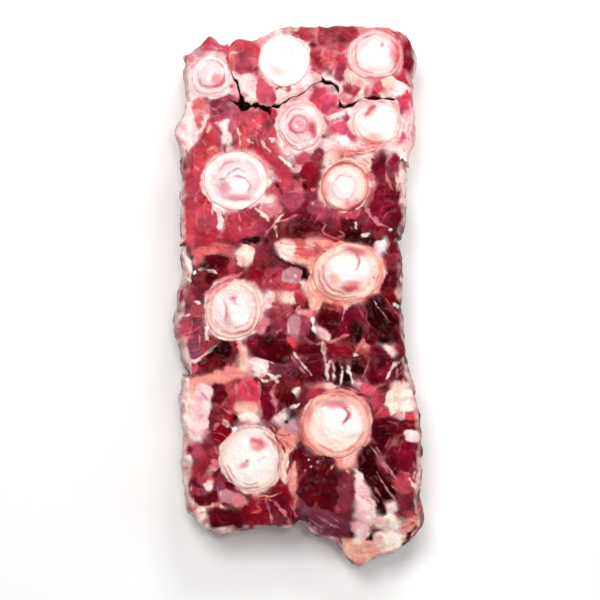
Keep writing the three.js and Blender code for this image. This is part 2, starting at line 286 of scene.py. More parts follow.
        (-38.8, -50.8, 2.4, 1.8, 30), (-40, -53.4, 2.6, 2.4), (-40.4, -90.4, 1.9, 1.8),
        (-46.4, -102.8, 4.8, 2.7, 5), (-33.4, -96, 3.4, 2.4, -30), (-36, -112.6, 10.6, 5.2, 4),
        (7.6, -37, 4.4, 6, -10), (36, -40, 1.4, 4.4), (44, -68.4, 7.8, 5.6), (54, -65.4, 4.6, 2.6, -12),
        (47.6, -82, 4, 6), (8.6, -86, 6.8, 3.6),
    ),
    GARNET: (
        (40.8, 64.4, 2.9, 6.8), (48, 66, 2, 5), (44.6, 44.8, 6.8, 9.6), (23.2, -16, 3.4, 5.6, -4),
        (30, -9.4, 2.8, 5.4, 8), (50.8, -22, 2.2, 4), (19, -28.6, 5.8, 3.2), (38.6, -29, 3.4, 2.6),
        (-24, -25.4, 2.2, 3.6), (-8.4, -103.4, 4.4, 6.8), (-16, -54.4, 3.2, 9.6, 4),
        (42, -36.6, 5.4, 5.8), (54.6, -81, 4, 7),
    ),
    APRICOT: (
        (-2, 16.6, 4.2, 1.5, -25), (7.8, 9, 3.2, 10.6, 14), (7.4, -2, 2.6, 3), (-25, -57.6, 4.9, 2.8),
        (31.4, -128.6, 7.6, 3.4, -8),
    ),
    VIOLET: (
        (-50.4, -20, 3, 5.6), (-54, -27.4, 4.6, 3), (-10.4, -38, 4.4, 2.6), (-38, -97.4, 2.2, 2.2),
        (14, -115.4, 12.4, 5, -22),
    ),
    DUSK: (
        (-12.6, -27.4, 8.4, 6.2), (-5.8, -51, 4.2, 5.6), (5, -97.6, 4.2, 7.8), (14.4, -99.4, 5.6, 9.2),
    ),
    TALLOW: (
        (-47.6, -111, 2.2, 3.8, 10), (50.6, -55, 5.6, 5.6, -12), (45, -114.4, 6, 3.4, -12),
        (45.4, -124.6, 7.6, 4.6, 5),
    ),
}
LOBES = tuple(Lobe(*row[:4], tissue, *row[4:])
              for tissue, rows in LOBE_ROWS.items() for row in rows)

# The strands of fat, the dark creases with the darkest painted as shade, and painted glints, cut by
# cut:
# width, tissue, and x and y of each point. A later one lies over the earlier.
STRANDS = strands(
    # a, b
    (2.6, CHERRY, -45.6, 123.8, -43.2, 123.4), (1.4, ROSE, -41.6, 122.8, -39.2, 121),
    (1.2, PLUM, -37.6, 122.2, -36.4, 121.8), (1.3, WHITE, -34.4, 120.6, -30.6, 120.2),
    (1.1, ROSE, -33.6, 104, -32.6, 102.6), (1.1, BLUSH, -28.4, 99.6, -25.4, 98.6, -23, 97.4),
    (1, RASPBERRY, -35.6, 112.6, -33, 111.4, -29.4, 111.6),
    (2.4, MAGENTA, -10.6, 101.8, -9, 104.4, -6.4, 105.4, -5, 103.4, -5, 101),
    (1.3, MAGENTA, 6, 112, 8.4, 111.4, 10.8, 109.8), (1.6, RASPBERRY, -19.6, 105.4, -17.4, 104),
    # c
    (1.3, NIGHT, 4.6, 124, 8.6, 124.5, 12.4, 125.7), (1.3, PLUM, -3, 130.8, 0.6, 129.6),
    (1.2, PLUM, 4.4, 128, 8.4, 128.6), (1, MAGENTA, -1, 127.6, 2, 126.6),
    (0.9, BLUSH, 13, 123.6, 11.4, 121, 12.4, 117.8, 15.6, 116.8),
    (0.8, BLUSH, 13.8, 121.8, 15.2, 119.6, 18, 118.8),
    (1, BLUSH, 17.6, 121.6, 20.6, 120.6, 23.6, 120.8),
    (1.5, CHERRY, 44.4, 132.6, 48.6, 130.2, 51.6, 126, 53.2, 121),
    (1.1, CRIMSON, 49, 132.4, 53.4, 127.8, 56.2, 122.6),
    (1.8, CRIMSON, 36.6, 99.8, 38, 101.2, 39.2, 99.6),
    # d, e
    (1, MAGENTA, 13, 89.4, 14.4, 86, 14, 83), (0.9, CORAL, 23, 71.4, 30, 70.6, 36, 72.6, 42, 75),
    (0.7, CORAL, 28, 75.4, 33, 74, 39, 75), (0.8, BLUSH, 57.4, 92, 58, 86, 57.4, 80),
    # f
    (2, SHELL, -45.4, 89.4, -47.4, 84.4, -51, 79.6), (1.1, CREAM, -43.4, 84, -45.4, 80.6),
    (1.3, PLUM, -36, 78, -37, 74.4, -37.6, 70.8), (1.6, SHELL, -41, 85, -39.8, 84.8),
    (1.3, SHELL, -30.6, 82.4, -29.4, 77.4, -29.6, 73), (0.8, BLUSH, -42.6, 92.4, -40.6, 91.4),
    (2.2, CREAM, -22.8, 87, -21, 85.6, -19.4, 84.4), (1.2, CRIMSON, -22.6, 82.6, -20, 80.8, -17.4, 79),
    (1.4, SHELL, -25.4, 76.6, -22.6, 74.6), (1.5, WHITE, -18.8, 77, -16.4, 73.6, -14, 71),
    (2, SHELL, -14, 77.2, -11.6, 76.2), (1.9, WHITE, -9.4, 74.6, -7.4, 72, -5.2, 69.8),
    (1.9, WHITE, -9.4, 68.2, -6, 65.4, -3.2, 63.2), (1.5, GARNET, -2.8, 64, -1.8, 63.4),
    (1.5, GARNET, -2.2, 58.6, -1.2, 58), (1.2, CREAM, -13.4, 58, -11, 57.2, -9.2, 56),
    (1.1, BLUSH, -11.3, 49.6, -11, 45, -10.6, 40.6), (1.4, NIGHT, -11, 54.6, -10.2, 53.4),
    (1.2, NIGHT, -9.3, 52.2, -8.8, 49.8), (1.1, PLUM, -38, 41, -37.4, 38),
    (1, BLUSH, -34, 41.6, -36.6, 36.8, -38.2, 32, -40, 28), (0.9, BLUSH, -30, 39.4, -29.5, 36.6),
    (0.8, BLUSH, -29.6, 34, -29, 31.4), (1.2, CREAM, -21.4, 42.2, -17.6, 39.8, -14.2, 37.2),
    (0.9, BLUSH, -12.4, 35, -7, 36.8, -0.7, 38.7), (0.9, SHELL, -11.4, 35.3, -9.2, 38.2, -7.2, 40.8),
    (0.7, BLUSH, -11.3, 34.8, -11.2, 40, -10.7, 44.7), (0.9, BLUSH, -11, 35.6, -14.7, 32, -17.3, 28),
    (1.1, SHELL, -11.5, 35.6, -11.2, 32, -11, 28.3), (1.6, SHELL, -57.4, 70, -57.4, 46, -57, 27),
    (1.2, BLUSH, -52.4, 63.6, -50, 61), (0.9, CORAL, -53, 76, -51.4, 71, -52.4, 66),
    (0.9, BLUSH, -48.6, 78, -46.6, 74), (0.8, MAGENTA, -54.6, 57, -53.4, 50, -54.2, 44),
    (0.8, BLUSH, -49.6, 52, -51.6, 46), (0.8, CORAL, -45.6, 47.4, -47.4, 42, -46.8, 37),
    (0.7, BLUSH, -51, 40, -50, 34), (0.9, SHELL, -42.4, 43.6, -43.6, 38.6),
    (0.8, BLUSH, -33.4, 88.6, -31.8, 84, -32.6, 80), (0.8, CORAL, -26.6, 88, -25, 83.6),
    (0.7, ROSE, -24, 33.4, -22.4, 31),
    # g
    (1.4, PLUM, 20.8, 68.8, 21.8, 68.6), (0.7, ROSE, 23.3, 68, 30, 68.8, 35.3, 70, 38.7, 72),
    (1.6, NIGHT, 2.8, 53.6, 3.8, 53), (1.5, BLUSH, 6.2, 52.8, 8.4, 52.6),
    (1.3, SHELL, 7, 44.9, 7.7, 44.5), (1.3, SHELL, 13.3, 44.2, 14.1, 43.8),
    (1.1, BLUSH, 13.3, 34.7, 11.7, 32, 14, 28.9, 18, 28, 21.3, 28.2, 22.4, 30, 20.7, 31.4),
    (1, BLUSH, 30.8, 42.4, 30, 38.6), (1.4, WHITE, 29.3, 35.6, 29.3, 32.6),
    (1.9, BLUSH, 34.3, 43.4, 36.7, 38, 40.7, 34.7, 44.9, 33.2),
    (1.2, BLUSH, 47.3, 71, 44, 65.3, 44, 60, 45.3, 56, 47.4, 51.8),
    (1.3, SHELL, 50, 65, 50, 58, 49.3, 51.2), (1.3, WHITE, 31.4, 28.7, 33.4, 29.5, 35.2, 29.9),
    (1.3, WHITE, 44.5, 31.4, 46.9, 32), (0.9, LILAC, 26.9, 33, 27.7, 32.4), (1, BLUSH, 1, 57, 3.4, 56),
    (1, BLUSH, -2, 52, 0, 50.6),
    # h
    (1.3, NIGHT, -12, 18.6, -6, 15.4, -1, 12.9, 3.6, 10.4),
    (0.8, CORAL, 9.4, 18.6, 6.6, 12, 6.6, 5.3, 9.4, 1.2, 13.7, -1, 18.6, -3.8, 23.7, -5),
    (0.6, ROSE, 11, 17, 9, 11, 9, 4.8, 11.6, 0.8), (1.5, CHERRY, -1.2, 4.9, 0, 4.3),
    (1.5, CHERRY, 0.4, -2.2, 1.4, -3), (0.8, BLUSH, 1.4, -9.2, 5.6, -10.2),
    # The lilac strand at 17, -7 is a painted sheen on the burgundy round it.
    (1.1, LILAC, 14.8, -7, 17.3, -7.5, 20.2, -8.6), (2, SHELL, 23.3, -6.6, 24.1, -7.2),
    (0.9, BLUSH, 23.8, -7, 22.2, -10.4, 21.6, -14), (1.7, WHITE, 7.4, -11.8, 7.6, -16, 8.3, -19.8),
    (1.2, BLUSH, 3, -21.9, 5.9, -24.7, 12.3, -25, 19.4, -23.3, 24.4, -20.4),
    (0.9, MAGENTA, 30, -6, 32.3, -11, 35, -19.7), (0.9, BLUSH, 37.3, -4, 40.9, -7.6, 45, -13.3),
    (1.8, WHITE, 38.2, -4.6, 39.3, -5.4), (1.6, WHITE, 47.6, -5, 48.6, -5.8),
    (1.1, ROSE, 43.7, -2.6, 46, -5.4, 48, -8.3, 50.9, -11), (1, PEACH, 28.4, -28.8, 30.6, -26.2),
    (1.8, SHELL, 28.2, -30, 29.2, -30.8), (1.4, CORAL, 33.4, -31.4, 33.6, -34),
    (2.6, SHELL, 11.5, -25, 12.3, -30.6), (1.1, SHELL, 12.2, -30, 14, -36.9, 14.8, -42.8),
    (0.9, SHELL, -2, -29.4, 2.3, -34.8, 6.8, -40.6), (0.8, BLUSH, -3.4, -31, 0.8, -36, 4.8, -41.6),
    (0.8, SHELL, 15, -43, 14.9, -36.6, 16.1, -34.2, 17.4, -36.6, 17.5, -43),
    (1.1, SHELL, 21.7, -36.6, 21.3, -45), (1.7, WHITE, 25, -35.8, 25.6, -40, 26.4, -45.6),
    (1.5, BLUSH, 34.5, -34.5, 32.3, -40, 33.8, -45.4),
    (1.4, SHELL, 43.6, -43.6, 47.3, -36.9, 50, -33.4, 53.2, -34.8), (1, BLUSH, 49.8, -37, 49.8, -42.4),
    (1.1, BLUSH, 52.4, -37.6, 52.3, -43), (1.4, PEACH, 43.3, 10.6, 44.3, 10),
    (1.3, PEACH, 47.6, 13.3, 48.6, 12.7), (1.4, SHELL, 49.9, 9.4, 49.5, 2.8),
    (1, SHELL, -2.4, 9.6, -0.8, 8.4), (0.8, CORAL, -9, 24.8, 0, 24.4, 8, 22.8, 14, 23.4),
    (0.9, ROSE, -4.4, 21.6, 4, 21.6, 11, 19.8), (0.8, CORAL, -9, 20.6, -4, 18.4, 3, 17.2, 8, 16.6),
    (0.8, RASPBERRY, -2, 19.4, 3, 18.8, 8.4, 19.6), (1, WHITE, -8.6, 22.6, -5, 23.2, -2, 22.2),
    (1.2, CHERRY, 12, 21.4, 14.6, 19.4),
    # i
    (1.8, CORAL, -53.6, 19.4, -48.3, 23, -41, 24, -32.4, 23.9),
    (1.9, BLUSH, -47.6, -0.8, -41, 3.8, -34.6, 7.4, -28, 10.4),
    (0.8, CORAL, -45, -0.6, -39, 3.6, -32, 7.6), (1.3, SHELL, -49.9, 12, -43.3, 11.8, -40.8, 10.6),
    (1.4, WHITE, -52.4, 10.5, -51.4, 10.1), (1.4, WHITE, -54.4, 6.2, -53.6, 5.6),
    (1.9, SHELL, -52, -4.4, -49.6, -5), (1.3, SHELL, -59.7, -12.6, -57, -11.6, -54.6, -11),
    (1.2, BLUSH, -53.3, -14.6, -54, -18, -55, -21.2), (0.9, BLUSH, -49.6, -20.2, -49.3, -26.2),
    (2.2, SHELL, -45.8, -13.8, -45.6, -18, -45, -23.6),
    (1.4, SHELL, -41, -26, -46.9, -30.4, -51, -34, -54.8, -32.6),
    (1.9, PEACH, -30.4, -23.8, -28.6, -31, -26.9, -37), (1.8, CRIMSON, -25.8, -25, -25, -26),
    (1.7, CRIMSON, -33.4, -25, -32.6, -26), (1.4, WHITE, -24, -34.8, -19, -37, -14, -41, -10.4, -44.4),
    (0.9, LILAC, -23.6, -38.4, -18.4, -40, -14, -38.4), (1, SHELL, -20, -40.6, -15.4, -43.2, -9.4, -41),
    (0.9, SHELL, -20.6, -35.4, -17, -34, -13.4, -35.4), (2.8, CRIMSON, -12.6, 9.4, -11.2, 8.6),
    (1.4, WHITE, -14, 5.8, -13.2, 5.4), (1.4, WHITE, -13, -0.6, -12.2, -1),
    (1.2, BLUSH, 0.4, -5.8, -2.6, -8.6, -6.2, -12), (0.9, SHELL, -5.4, -13, -5.9, -17, -4.6, -20.8),
    (1, BLUSH, -8.8, -18, -11, -19.8),
    (1.5, SHELL, -57.8, 20, -57.6, 5, -60.4, -8, -60.6, -22, -57, -34),
    (0.9, CRIMSON, -19, -28, -16, -30), (0.9, BLUSH, -36, -35, -33, -37.4),
    # k
    (1.3, APRICOT, -53.4, -44, -54, -52, -54.6, -62), (1, LILAC, -48, -50, -45.4, -53, -43, -56.4),
    (0.8, BLUSH, -54.6, -70, -55.2, -80, -54.8, -92),
    (1.6, BLUSH, -37, -57.6, -35.4, -58.9, -33.8, -58), (1.3, CORAL, -31.8, -57, -31.2, -60),
    (2.5, WHITE, -37.6, -63.4, -35, -66, -31.8, -69), (1, NIGHT, -35, -66.2, -33.8, -67.4),
    (1.1, BLUSH, -42.4, -68, -39.6, -65.4), (1.1, LILAC, -41.4, -76.6, -39.8, -80.6),
    (1.3, BLUSH, -40.5, -97, -39.7, -100.6, -38.5, -104.4),
    (1.7, APRICOT, -49.8, -107.4, -45, -106.4, -40.4, -105.6, -36.4, -107),
    (0.8, PLUM, -48.6, -109.8, -46, -110.2), (0.8, CORAL, -45.4, -112, -45.4, -115.4),
    (1, BLUSH, -36, -104, -33.4, -104.6), (1.2, PEACH, -26, -99.6, -20, -101, -14, -101.4, -9, -99.4),
    (0.8, CORAL, -24, -101.8, -18, -103, -12, -103.4),
    (1.5, BLUSH, -14.6, -103.6, -9.4, -107, -6, -111, -3.4, -115.4),
    (1.5, BLUSH, -17, -104, -14.6, -109, -13.6, -113, -12.8, -117),
    (1.1, CORAL, -21, -105.6, -19, -107.4, -20.4, -108.8, -23.4, -109.4),
    (1.6, BLUSH, -17.6, -115.6, -15, -116), (1.3, PEACH, -2, -84, -2.8, -91, -1.6, -97),
    (1.7, BLUSH, -2.4, -99, -1.4, -103, -2.8, -107, -1.4, -112),
    (1, CRIMSON, -4.6, -82, -4.4, -86, -5.2, -90), (1, CORAL, -15, -65, -10, -69.6, -5, -72, 0, -74),
    (0.9, CRIMSON, -12.6, -69.6, -8.6, -71, -3.6, -70.6),
    (0.8, CRIMSON, -12, -71.6, -8.6, -75, -6.6, -80.6), (0.6, CHERRY, -10.4, -72, -6, -75, -2.6, -80),
    (0.7, APRICOT, -7.4, -73, -3.4, -74.6, -1, -78), (0.9, APRICOT, -10, -76, -8, -80, -7.6, -84),
    (0.8, APRICOT, -13.4, -67, -9.4, -72.6), (1.7, NIGHT, -6.4, -64.6, -5.2, -65.2),
    (1.5, BLUSH, -27, -43.6, -26, -47.6, -25, -50.8), (1.3, BLUSH, -31, -42, -31.6, -49, -30.4, -55.4),
    (1.3, BLUSH, -19.4, -43, -19, -50, -20.6, -57),
    (2.2, BLUSH, -11.6, -45.6, -12.6, -52, -11.6, -58.6), (1.1, BLUSH, -11.4, -60, -11.8, -65),
    # j
    (1.5, SHELL, -9.4, -59.2, -4, -57, 0.8, -54.4),
    (1.4, BLUSH, 24, -47, 30, -49.8, 36, -48.4, 44, -45), (0.9, ROSE, 31, -51.6, 36, -54.6, 38, -58),
    (1, BLUSH, 36.6, -62.6, 40, -59.6, 42, -57), (1, BLUSH, 38, -50, 42, -51),
    (0.9, BLUSH, 36, -76.6, 40, -82, 44.6, -89), (0.8, LILAC, 38.6, -76.6, 42.8, -84, 48, -92),
    (0.8, PLUM, 37.4, -81, 40.6, -87, 46, -95, 50, -100.4),
    (0.7, BLUSH, 39.4, -89.4, 44.6, -98, 49, -104.6), (0.7, MAGENTA, 41.4, -86, 47, -94.6, 52, -101),
    (1, BLUSH, 37.6, -95.6, 41.4, -101.6), (0.7, LILAC, 35.8, -98.6, 39.8, -104.8),
    (0.8, LILAC, 44, -97.4, 48, -103, 50.4, -107.6), (0.6, PLUM, 34.6, -91, 38, -97),
    (0.9, BLUSH, 47, -97, 49.4, -99.4), (0.7, ROSE, 45, -64, 50, -65.4),
    (0.6, LILAC, 5.4, -112.6, 9, -115.6, 12.4, -117.2), (0.6, PLUM, 8, -110, 12, -110.6),
    (0.7, LILAC, 10.6, -111.8, 15, -115.4, 19.6, -118.4), (0.5, LILAC, 16, -112, 19.4, -114.4),
    (0.6, PLUM, 19, -116.4, 22.6, -119.6, 24.6, -122), (1.4, PEACH, 50, -113.6, 55, -113.8, 61, -110),
    # Painted glints: the pale strand at the right edge, and the small pale dots near 6, -85 on these
    # three lines.
    (1.6, SHELL, 54.6, -92.6, 58, -96.4), (1.4, SHELL, 5.6, -86.2, 6.4, -86.8),
    (1.3, SHELL, 8.6, -84.4, 9.4, -84.8), (1.1, BLUSH, 11.8, -82.4, 12.4, -82.8),
    (1, SHELL, 4.4, -82.6, 5.2, -83), (1, BLUSH, 3, -88, 3.6, -88.8),
    (1.4, PEACH, 18, -85, 16.4, -87.6), (1.6, PEACH, 23.6, -86, 25, -90),
    (0.7, BLUSH, 30.6, -100, 34, -103, 37.6, -106.6), (1.5, PEACH, 25, -128.6, 31, -130.8, 38, -130.4),
    (0.7, PEACH, 37.6, -119, 42, -119.8, 47, -118.8), (1, ROSE, 51, -119.4, 55, -117, 58.6, -114.6),
    (0.6, MAGENTA, 52, -73, 50, -79), (0.6, MAGENTA, 46, -72, 43, -77),
)


@dataclass(frozen=True)
class DiscLook:
    """Colours of a sawn disc of cartilage, and the marks on it, from its own middle.

    Args:
        zones: sRGB hex colours from the middle to the edge, each with its share of the radius.
        bead, bead_share: colour of the lines between the rings, and how strong they are.
        marks: stains, pits, and white patches that are partly painted highlights.
        arcs: strokes along the rings.
    """

    zones: tuple[tuple[float, str], ...]
    bead: str
    bead_share: float
    marks: tuple[Lobe, ...]
    arcs: tuple[Strand, ...]


def circle(x: float, y: float, radius: float, steps: int = 8) -> list[float]:
    """Go round a closed ring.

    Args:
        x, y, radius: its middle and radius.
        steps: how many steps it takes.

    Returns:
        x and y of each point.
    """
    turns = [FULL_TURN * step / steps for step in range(steps + 1)]
    return [value for turn in turns
            for value in (x + radius * math.cos(turn), y + radius * math.sin(turn))]


DISCS = {
    "a": DiscLook(
        ((0, "#edd9d9"), (0.45, "#eacfd1"), (0.74, "#e6cbcb"), (0.86, "#eedfdc"), (1, "#eedcd9")),
        "#d3a0a4", 0.35,
        lobes((3, -1.6, 2.6, 2.2, BLUSH, 30), (-3, 4, 2.6, 3.6, SHELL)),
        strands((1.6, BLUSH, -6, -1.6, -4.4, -4, 0, -5.2, 5, -3.6, 7.2, 1),
                (0.9, RASPBERRY, 1, -5.2, 4.6, -4, 6.6, -0.6), (1, BLUSH, -3, 7.6, 1.6, 7.8, 5.4, 5),
                (0.7, BLUSH, -8, -4, -4, -8, 3, -8.6, 8, -5))),
    "b": DiscLook(
        ((0, "#f2ebe9"), (0.8, "#f0e8e5"), (0.93, "#ede0dc"), (1, "#e8d0cc")), "#e2c6c4", 0.35,
        lobes((5, 4.6, 2.6, 1, SHELL, -50), (-4, -6, 4, 2, SHELL, 20)),
        strands((0.9, BLUSH, -1.6, 5.6, 1.4, 6.2, 4.6, 3), (0.7, SHELL, 7, 8, 10, 3, 10.6, -3))),
    "c": DiscLook(
        ((0, "#f0e9e6"), (0.5, "#eee2df"), (0.62, "#e9c9c8"), (0.72, "#ecd4d0"), (0.82, "#e2b2b0"),
         (0.9, "#eacac6"), (1, "#dda6a4")), "#c67c82", 0.5,
        lobes((3, 5.1, 1.2, 1, LILAC), (10.4, 0.6, 2.2, 5.8, CORAL, 8),
              (10.6, -2, 1, 3.4, RASPBERRY, 10), (-2.6, -1.4, 5.4, 5.4, WHITE)),
        strands((0.9, ROSE, -6, 8.4, 0, 10.6, 6, 9.6, 10, 5),
                (1.1, ROSE, 8, 8, 11.4, 3, 11.6, -3, 8, -8), (0.8, LILAC, -4, -10.8, 1, -11.2, 5, -10),
                (0.9, BLUSH, -9, 4, -9.6, -2, -6, -7.6, 0, -9))),
    "d": DiscLook(
        ((0, "#e6bcc0"), (0.3, "#e4b6bb"), (0.55, "#eacbcb"), (0.78, "#eedcd9"), (0.9, "#e5c0bd"),
         (1, "#e2b6b3")), "#cf8b93", 0.5,
        lobes((5.2, -1.2, 2.7, 4.2, RASPBERRY, 12), (5.6, -1.6, 1.7, 3, CHERRY, 10),
              (-0.4, 0.8, 2.2, 2, BLUSH)),
        strands((1.9, BLUSH, *circle(-0.6, 0.9, 4.3)),
                (0.9, RASPBERRY, -4.4, 3.4, -4.8, -0.6, -2.4, -3.4, 1.6, -3.6),
                (0.8, BLUSH, -8, 3, -4, 8, 2, 8.8), (0.8, ROSE, -10, -2, -6, -8.6, 1, -10),
                (0.7, BLUSH, -7.4, -4, -3, -7.6, 3, -7.6, 7, -4))),
    "e": DiscLook(
        ((0, "#f1ebe8"), (0.6, "#efe6e2"), (0.86, "#ecdcd6"), (1, "#e6bfb6")), "#dfb2ae", 0.4,
        lobes((-3.4, 6.4, 3.8, 1.9, BLUSH, 40), (-2, -8, 5, 2.4, PEACH, 4), (-9, 1, 2, 4, CREAM)),
        strands((1.6, RASPBERRY, -5.6, 4.4, -3.6, 6.6, -0.6, 8.4),
                (1.1, CORAL, -10, -3, -7, -7.4, -1, -9.4, 5, -8.4),
                (0.7, BLUSH, 8.4, 6, 10.4, 1, 9, -4.6))),
    "f": DiscLook(
        ((0, "#f0e6e6"), (0.42, "#ead6d7"), (0.62, "#e7cbcd"), (0.7, "#e2bfc0"), (0.79, "#eedfd9"),
         (0.93, "#efdfd8"), (1, "#e4c3ba")), "#cb949a", 0.45,
        lobes((-5.4, -3.6, 3, 3.4, BLUSH, 20), (1.6, -8.8, 6, 1.6, BLUSH, 4),
              (2.4, -3.6, 3.6, 3.8, WHITE), (-6.2, 1.2, 1.3, 0.9, MAGENTA, 20)),
        strands((1.2, MAGENTA, -7.6, 0.4, -4.6, 2.6, -2.2, 4.8, 1.4, 6, 5.2, 4),
                (0.9, MAGENTA, -4.6, 1.4, 0, 2, 4.4, 0.8), (0.8, BLUSH, 4.4, 0.8, 7, -2.4, 6, -6.4),
                (0.8, BLUSH, -9.6, -2, -7, -7.4, -1, -10.4, 5, -9),
                (0.7, BLUSH, -9.4, 4, -5, 8.8, 2, 9.6))),
    "g": DiscLook(
        ((0, "#ebe2e2"), (0.44, "#eadbda"), (0.54, "#dec2be"), (0.64, "#efddd2"), (0.84, "#efd6c9"),
         (0.92, "#e2a79c"), (1, "#cf6a66")), "#d19a90", 0.45,
        lobes((3.6, -8.6, 5, 2.1, RASPBERRY, 10), (4.8, -9.8, 3.2, 1.3, CRIMSON, 12),
              (-9.4, -2, 1.3, 4.6, BLUSH)),
        strands((1.6, CORAL, -11, 3.6, -8.4, 8.4, -0.2, 11.4, 7.4, 9, 10.6, 4),
                (0.9, CHERRY, -10.4, 8.4, -4.8, 11.3, 3.6, 11.4, 8.6, 8.2),
                (1.1, CRIMSON, -9, -7.6, -3, -11.4, 4, -11.6, 9.6, -7),
                (0.6, LILAC, -5, 3, -1.4, 5.4, 3, 4.6))),
    "h": DiscLook(
        ((0, "#f0e8e6"), (0.45, "#eee0dc"), (0.64, "#e9cec5"), (0.74, "#ddafa3"), (0.81, "#edd2c4"),
         (0.92, "#ebc5b2"), (1, "#dfa48f")), "#bd7c70", 0.55,
        lobes((1, -7.2, 5.6, 2.8, CORAL, 6), (1, -8.4, 3, 1.4, CHERRY),
              (4.6, 11.2, 5.8, 2.4, RASPBERRY, -16), (-3.6, 4, 4.6, 4.8, WHITE),
              (8.4, 2, 4, 4.4, WHITE), (12.9, -2.2, 0.8, 0.7, CHERRY), (-7, -3, 2.4, 3.4, PEACH, 20)),
        strands((0.9, CHERRY, -15, 2, -13.6, -4, -9.6, -9.6, -3, -12.6, 4, -12.4),
                (0.7, ROSE, -12.6, 4, -12, -2, -8, -7.4, -1.6, -10.8),
                (0.8, CORAL, -14.4, -6, -9, -12, -1, -14.6, 8, -12),
                (1.4, BLUSH, 1, 11.4, 4.4, 9.6, 5.8, 6.4, 5.4, 3, 3.6, 1),
                (0.7, MAGENTA, 4.4, 9.4, 5.8, 6.4, 5.4, 3.4), (0.9, BLUSH, -12, 8, -6, 12.4, 1, 13.4),
                (0.8, CORAL, 15.4, 5, 16, 0, 13.6, -7))),
    "i": DiscLook(
        ((0, "#ece2e1"), (0.5, "#ead9d7"), (0.76, "#e9d0ca"), (0.86, "#d59f93"), (0.91, "#ecd2c0"),
         (1, "#e4b8a5")), "#cf968e", 0.45,
        lobes((0.4, 5.6, 1.6, 2.4, BLUSH, 30), (-3.4, -3.6, 1.6, 5, BLUSH, 8), (-7.4, 1, 2.2, 5, WHITE),
              (4, -4, 4, 4.4, WHITE), (0.6, 12, 3.4, 2.4, CREAM)),
        strands((1.9, BLUSH, -14, 3, -11, 8, -6.4, 11.8, -1, 13.8),
                (0.8, CORAL, -12.4, 4, -8.4, 8.8, -3, 12.4),
                (1.1, MAGENTA, -0.8, 6.4, 0.6, 4.6, 1.4, 2.8), (0.8, LILAC, -1, 3.6, 2.4, 2, 5, 0),
                (0.8, BLUSH, -4.6, 5, -3.6, 0, -4.6, -6),
                (0.8, CHERRY, 11.5, -3, 8.5, -9.6, 2, -12, -5, -10.6, -9.6, -5),
                (0.7, CORAL, 9.6, -2, 6.6, -7.6, 1, -9.6))),
    "j": DiscLook(
        ((0, "#f0e7e5"), (0.45, "#eee0dc"), (0.74, "#edd6cb"), (0.82, "#e2b0a3"), (0.9, "#ebb9a9"),
         (1, "#df9683")), "#cf9085", 0.35,
        lobes((-2.8, 2.6, 4.8, 5.4, WHITE), (-9.4, 0, 2.6, 7, CREAM), (-0.6, 10.2, 6.8, 2.2, BLUSH, 4),
              (-13.4, 5, 1.6, 5, CORAL, 10), (9.4, 0, 3.4, 4, WHITE), (1, -9, 6, 2.6, CREAM)),
        strands((2.6, BLUSH, -4, 9.8, 1.6, 10.4, 5, 8, 5.8, 4.4, 4.6, 0.8),
                (1.1, MAGENTA, 3.6, 8.6, 5.6, 5.4, 5, 2.2, 3.6, 0),
                (1.2, CORAL, -12.4, 8, -7, 13, 1, 14.4, 8, 12.6),
                (0.9, CORAL, 13.4, -4, 8, -11.4, -1, -13.6, -9, -10.6))),
    "k": DiscLook(
        ((0, "#f1ebe9"), (0.7, "#efe4e0"), (0.86, "#ecdad2"), (0.93, "#e4c4ba"), (1, "#eccfc2")),
        "#e2c2ba", 0.3,
        lobes((3.9, 7.8, 4.8, 3.2, CORAL, -8), (4.4, 8.6, 2.6, 1.4, RASPBERRY, -10),
              (-2.3, 0.5, 1, 0.9, MAGENTA), (-5, -5, 5, 4, WHITE), (-3.6, -1.6, 2.6, 1.6, BLUSH, 20)),
        strands((0.9, CHERRY, -13.6, -4, -9.4, -10.6, -3, -14, 4, -14),
                (0.7, ROSE, -12, -3, -8, -9, -2, -12.2, 4, -12.4),
                (0.9, LILAC, 3.6, -1, 5.6, 0.8, 7.4, 1.4),
                (1, CRIMSON, 8.6, 12, 12.8, 7.6, 14.4, 1, 13.4, -6),
                (0.7, CORAL, 6, 13.4, 10.6, 9.4, 12.4, 4))),
}


@dataclass(frozen=True)
class Slump:
    """The thick end's slope: it falls away past a distance from the vertebra."""

    bearing: float
    start: float
    steepness: float


@dataclass(frozen=True)
class Cell:
    """Where one cut stands in the block, and what its ground tissue is.

    Args:
        seed, girth: middle and radius of the circle that presses against its neighbours'.
        outer: open sides, each as bearing in degrees and distance from the vertebra.
        collar_width, collar: thickness and tissue of the ring round the vertebra.
        ground: tissue between the lobes.
        slump: slope of an open end, if any.
    """

    seed: tuple[float, float]
    girth: float
    outer: tuple[tuple[float, float], ...]
    collar_width: float
    collar: Tissue
    ground: Tissue
    slump: Slump | None = None


